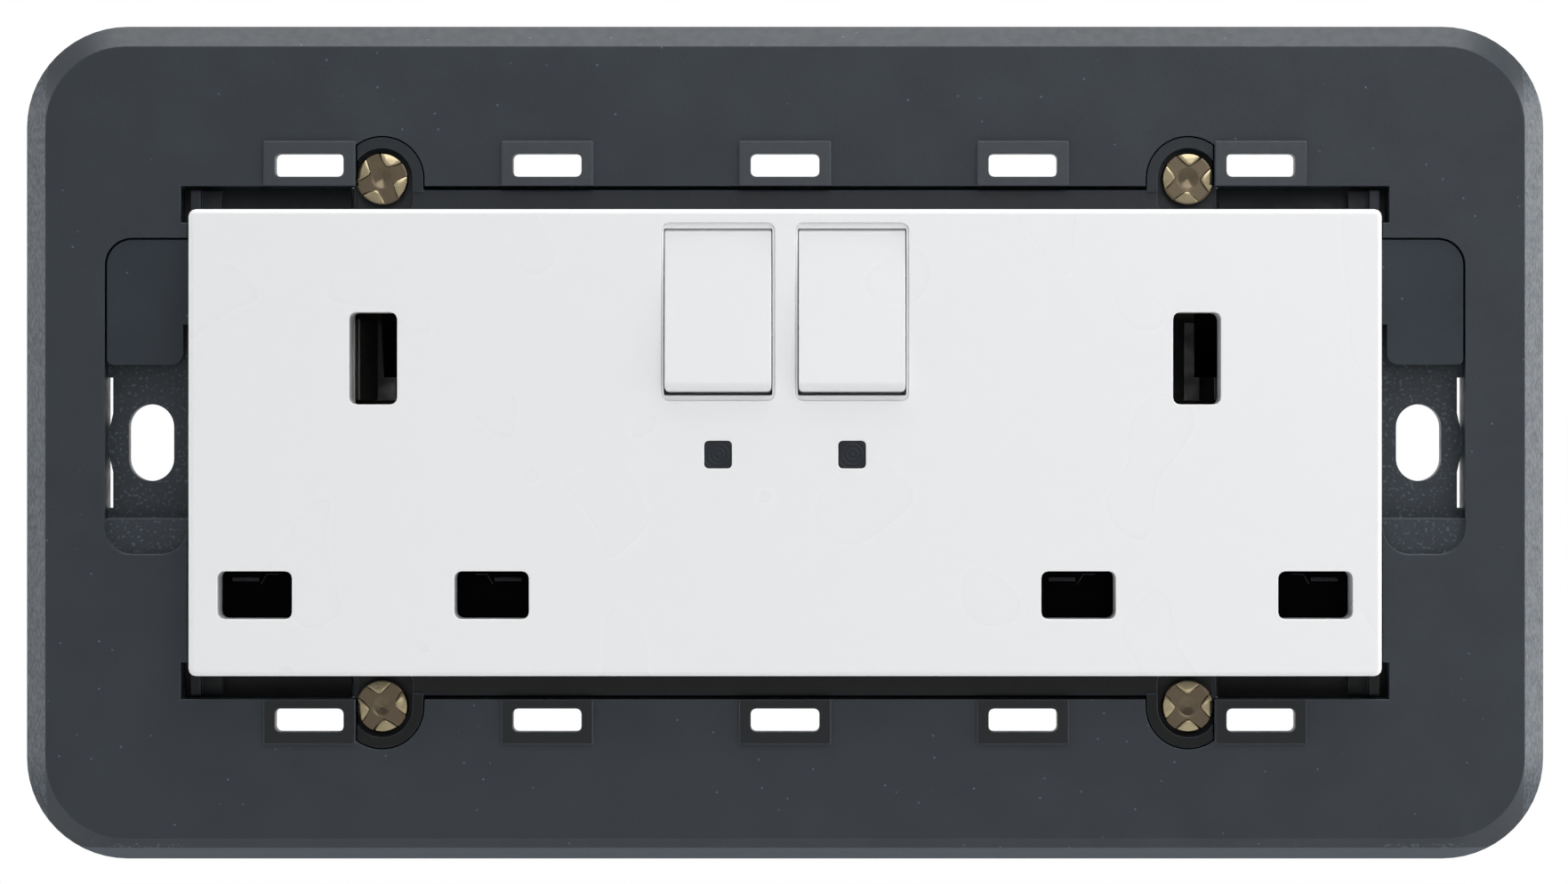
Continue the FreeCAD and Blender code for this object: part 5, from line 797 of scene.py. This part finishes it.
class SOCKET_OT_hidden_mouldings(bpy.types.Operator):
    """Finish the shutters, the shutter plate, the plungers and the rear housing."""
    bl_idname = "socket.hidden_mouldings"
    bl_label = "Hidden mouldings"

    def execute(self, context):
        plastic = context.scene.socket_plastic
        black = moulded_grey("shutter_moulding", plastic.shutter_black, plastic.grain, 0.01, False)
        line = moulded_grey("shutter_line", plastic.shutter_line, plastic.grain, 0.01, False)
        cream = moulded_grey("housing_moulding", plastic.housing_cream, plastic.grain, specks_and_lit_foot=False)
        plunger = moulded_grey("plunger_moulding", (0.10, 0.08, 0.06), plastic.grain, specks_and_lit_foot=False)
        for side, sign in SIDES:
            dress(f"shutter_{side}", black)
            dress(f"plunger_{side}", plunger)
            shutter_lines(side, sign, line)
        dress("shutter_plate", cream)
        dress("rear_housing", cream)
        return {"FINISHED"}


class SOCKET_OT_conductors(bpy.types.Operator):
    """Finish the contacts, terminals and tips."""
    bl_idname = "socket.conductors"
    bl_label = "Conductors"

    def execute(self, context):
        metal = context.scene.socket_metal
        sheet = sheet_metal("contact_brass", metal.brass, 0.26, (1.0, 4.0, 1.0))
        bar = sheet_metal("terminal_brass", shade(metal.brass, 0.94), 0.30, (1.0, 1.0, 6.0))
        silver = sheet_metal("tip_silver", metal.silver, 0.30)
        for node in ("switch_feed", "neutral_busbar"):
            dress(node, sheet)
        # painted shade: the earth strap darkened for the shade deep in the earth aperture
        dress("earth_strap", sheet_metal("earth_strap_painted_shade", metal.earth_painted_shade, 0.4))
        for node in ("terminal_neutral", "terminal_earth_left", "terminal_earth_right", "terminal_live"):
            dress(node, bar)
        for side, _ in SIDES:
            dress(f"live_clip_{side}", sheet)
            dress(f"moving_contact_{side}", sheet)
            dress(f"moving_tip_{side}", silver)
            dress(f"fixed_tip_{side}", silver)
        return {"FINISHED"}


class SOCKET_OT_well_lips(bpy.types.Operator):
    """Line the rocker wells."""
    bl_idname = "socket.well_lips"
    bl_label = "Well lips"

    def execute(self, context):
        white = gloss_white("lip_moulding", context.scene.socket_plastic.face_white, 0.0001)
        for side, sign in SIDES:
            well_lip(side, sign, context.scene.socket_wells, white)
            well_shelves(side, sign, white)
        return {"FINISHED"}


class SOCKET_OT_screws(bpy.types.Operator):
    """Make the carrier screws and finish the others."""
    bl_idname = "socket.screws"
    bl_label = "Screws"

    def execute(self, context):
        metal = context.scene.socket_metal
        sizes = context.scene.socket_screws
        steel = sheet_metal("clamp_steel", shade(metal.steel, 1.1), 0.30)
        dress("terminal_screws", steel)
        dress("assembly_screws", steel)
        # painted shade: the screws' recesses darkened below the crown
        plated = sheet_metal("screw_plating", metal.plating, 0.24, tarnish=0.7, sunk=(metal.recess, 0.00445, 0.0048))
        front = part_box("carrier_screws")[0][1]
        screws = grown("pan_head_screws", screw_tree(plated), {
            "Head radius": sizes.head_radius, "Head height": sizes.head_height, "Arm width": sizes.arm_width,
            "Recess depth": sizes.recess_depth, "Shank radius": sizes.shank_radius,
            "Shank length": sizes.shank_length, "Pitch": sizes.pitch, "Turn": sizes.turn, "Spread": sizes.spread,
            "Spacing": SCREW_SPACING, "Row height": SCREW_ROWS, "Seat": front + SCREW_SEAT, "Seed": sizes.seed,
        }, "base")
        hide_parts("carrier_screws")
        return {"FINISHED"}


class SOCKET_OT_springs(bpy.types.Operator):
    """Wind the springs of the shutters and the plungers."""
    bl_idname = "socket.springs"
    bl_label = "Springs"

    def execute(self, context):
        sizes = context.scene.socket_springs
        steel = sheet_metal("spring_steel", context.scene.socket_metal.steel, 0.25, tarnish=0.9)
        tree = spring_tree(steel)
        for side, _ in SIDES:
            node = f"shutter_spring_{side}"
            low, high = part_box(node)
            middle = [(a + b) / 2 for a, b in zip(low, high)]
            wire = sizes.shutter_wire
            spring = grown(f"shutter_coil_{side}", tree, {
                "Radius": (high[0] - low[0] - wire) / 2 - 0.00002, "Wire": wire, "Turns": sizes.shutter_turns,
                "Length": high[2] - low[2] - 1.2 * wire, "Place": middle, "Lean": (0.0, 0.0, 0.0),
            }, f"shutter_{side}")
            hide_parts(node)
            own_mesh(spring)
            node = f"plunger_spring_{side}"
            low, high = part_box(node)
            middle = [(a + b) / 2 for a, b in zip(low, high)]
            wire = sizes.plunger_wire
            lean = PLUNGER_LEAN
            across = high[0] - low[0]
            run = (high[1] - low[1] - across * math.sin(lean)) / math.cos(lean)
            spring = grown(f"plunger_coil_{side}", tree, {
                "Radius": (across - wire) / 2 - 0.00002, "Wire": wire, "Turns": sizes.plunger_turns,
                "Length": run - 1.2 * wire, "Place": middle, "Lean": (math.pi / 2 - lean, 0.0, 0.0),
            }, f"plunger_{side}")
            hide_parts(node)
            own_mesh(spring)
        return {"FINISHED"}


def soft_panel(name, place, aim, width, height, radiance):
    """A rectangular lamp that faces a point."""
    data = bpy.data.lights.new(name, "AREA")
    data.shape = "RECTANGLE"
    data.size = width
    data.size_y = height
    data.energy = radiance * math.pi * width * height
    lamp = bpy.data.objects.new(name, data)
    lamp.location = place
    lamp.rotation_euler = (Vector(aim) - Vector(place)).to_track_quat("-Z", "Y").to_euler()
    bpy.context.scene.collection.objects.link(lamp)
    return lamp


class SOCKET_OT_studio(bpy.types.Operator):
    """Set the camera, the lamps, the floor and the white surroundings."""
    bl_idname = "socket.studio"
    bl_label = "Studio"

    def execute(self, context):
        scene = context.scene
        studio = scene.socket_studio
        data = bpy.data.cameras.new("camera")
        data.lens = studio.lens
        data.sensor_width = 36.0
        data.clip_start = 0.01
        camera = bpy.data.objects.new("camera", data)
        camera.location = (-0.0001, -studio.distance, 0.00006)
        camera.rotation_euler = (math.radians(90), 0.0, 0.0)
        scene.collection.objects.link(camera)
        scene.camera = camera
        scene.view_settings.view_transform = "Standard"

        for name, place, width, height, setting in PANELS:
            soft_panel(name, place, (0, 0, 0), width, height, getattr(studio, setting))

        floor_mesh = bpy.data.meshes.new("floor")
        build = bmesh.new()
        bmesh.ops.create_circle(build, cap_ends=True, segments=96, radius=0.75)
        build.to_mesh(floor_mesh)
        build.free()
        floor_mesh.transform(Matrix.Translation((0, 0, -studio.floor_depth)))
        floor = bpy.data.objects.new("floor", floor_mesh)
        scene.collection.objects.link(floor)
        material, tree, surface, where = start_finish("floor_paper")
        base = ramp(tree, noise(tree, where, 0.05, 3.0), (0.3, (0.80, 0.80, 0.80)), (0.7, (0.84, 0.84, 0.84)))
        tree.links.new(base, surface.inputs["Base Color"])
        surface.inputs["Roughness"].default_value = 0.9
        floor.data.materials.append(material)

        world = bpy.data.worlds.new("surroundings")
        scene.world = world
        world.use_nodes = True
        tree = world.node_tree
        tree.nodes.clear()
        output = tree.nodes.new("ShaderNodeOutputWorld")
        matt = tree.nodes.new("ShaderNodeBackground")
        matt.inputs["Color"].default_value = (1, 1, 1, 1)
        matt.inputs["Strength"].default_value = studio.ambient
        white = tree.nodes.new("ShaderNodeBackground")
        white.inputs["Color"].default_value = (1, 1, 1, 1)
        white.inputs["Strength"].default_value = 1.0
        rays = tree.nodes.new("ShaderNodeLightPath")
        seen = calc(tree, "MAXIMUM", rays.outputs["Is Camera Ray"], rays.outputs["Is Glossy Ray"])
        seen = calc(tree, "MAXIMUM", seen, rays.outputs["Is Transmission Ray"])
        mix = tree.nodes.new("ShaderNodeMixShader")
        tree.links.new(seen, mix.inputs["Fac"])
        tree.links.new(matt.outputs["Background"], mix.inputs[1])
        tree.links.new(white.outputs["Background"], mix.inputs[2])
        tree.links.new(mix.outputs["Shader"], output.inputs["Surface"])
        return {"FINISHED"}


class SOCKET_PT_panel(bpy.types.Panel):
    """Lists the socket's settings and the steps that dress it."""
    bl_label = "Twin socket"
    bl_idname = "SOCKET_PT_panel"
    bl_space_type = "VIEW_3D"
    bl_region_type = "UI"
    bl_category = "Socket"

    def draw(self, context):
        layout = self.layout
        for group in (context.scene.socket_plastic, context.scene.socket_metal,
                      context.scene.socket_screws, context.scene.socket_springs,
                      context.scene.socket_wells, context.scene.socket_studio):
            box = layout.box()
            for item in group.bl_rna.properties:
                if item.identifier not in {"rna_type", "name"}:
                    box.prop(group, item.identifier)
        for operator in OPERATORS:
            layout.operator(operator.bl_idname)


GROUPS = {
    "socket_plastic": PlasticSettings,
    "socket_metal": MetalSettings,
    "socket_screws": ScrewSettings,
    "socket_springs": SpringSettings,
    "socket_wells": WellSettings,
    "socket_studio": StudioSettings,
}
OPERATORS = (
    SOCKET_OT_studio,
    SOCKET_OT_grey_mouldings,
    SOCKET_OT_white_mouldings,
    SOCKET_OT_lamps,
    SOCKET_OT_hidden_mouldings,
    SOCKET_OT_conductors,
    SOCKET_OT_well_lips,
    SOCKET_OT_screws,
    SOCKET_OT_springs,
)


def register():
    for group in GROUPS.values():
        bpy.utils.register_class(group)
    for name, group in GROUPS.items():
        setattr(bpy.types.Scene, name, PointerProperty(type=group))
    for operator in OPERATORS:
        bpy.utils.register_class(operator)
    bpy.utils.register_class(SOCKET_PT_panel)


def unregister():
    bpy.utils.unregister_class(SOCKET_PT_panel)
    for operator in reversed(OPERATORS):
        bpy.utils.unregister_class(operator)
    for name in GROUPS:
        delattr(bpy.types.Scene, name)
    for group in reversed(tuple(GROUPS.values())):
        bpy.utils.unregister_class(group)


def main():
    register()
    bpy.ops.socket.studio()
    bpy.ops.socket.grey_mouldings()
    bpy.ops.socket.white_mouldings()
    bpy.ops.socket.lamps()
    bpy.ops.socket.hidden_mouldings()
    bpy.ops.socket.conductors()
    bpy.ops.socket.well_lips()
    bpy.ops.socket.screws()
    bpy.ops.socket.springs()


if __name__ == "__main__":
    main()
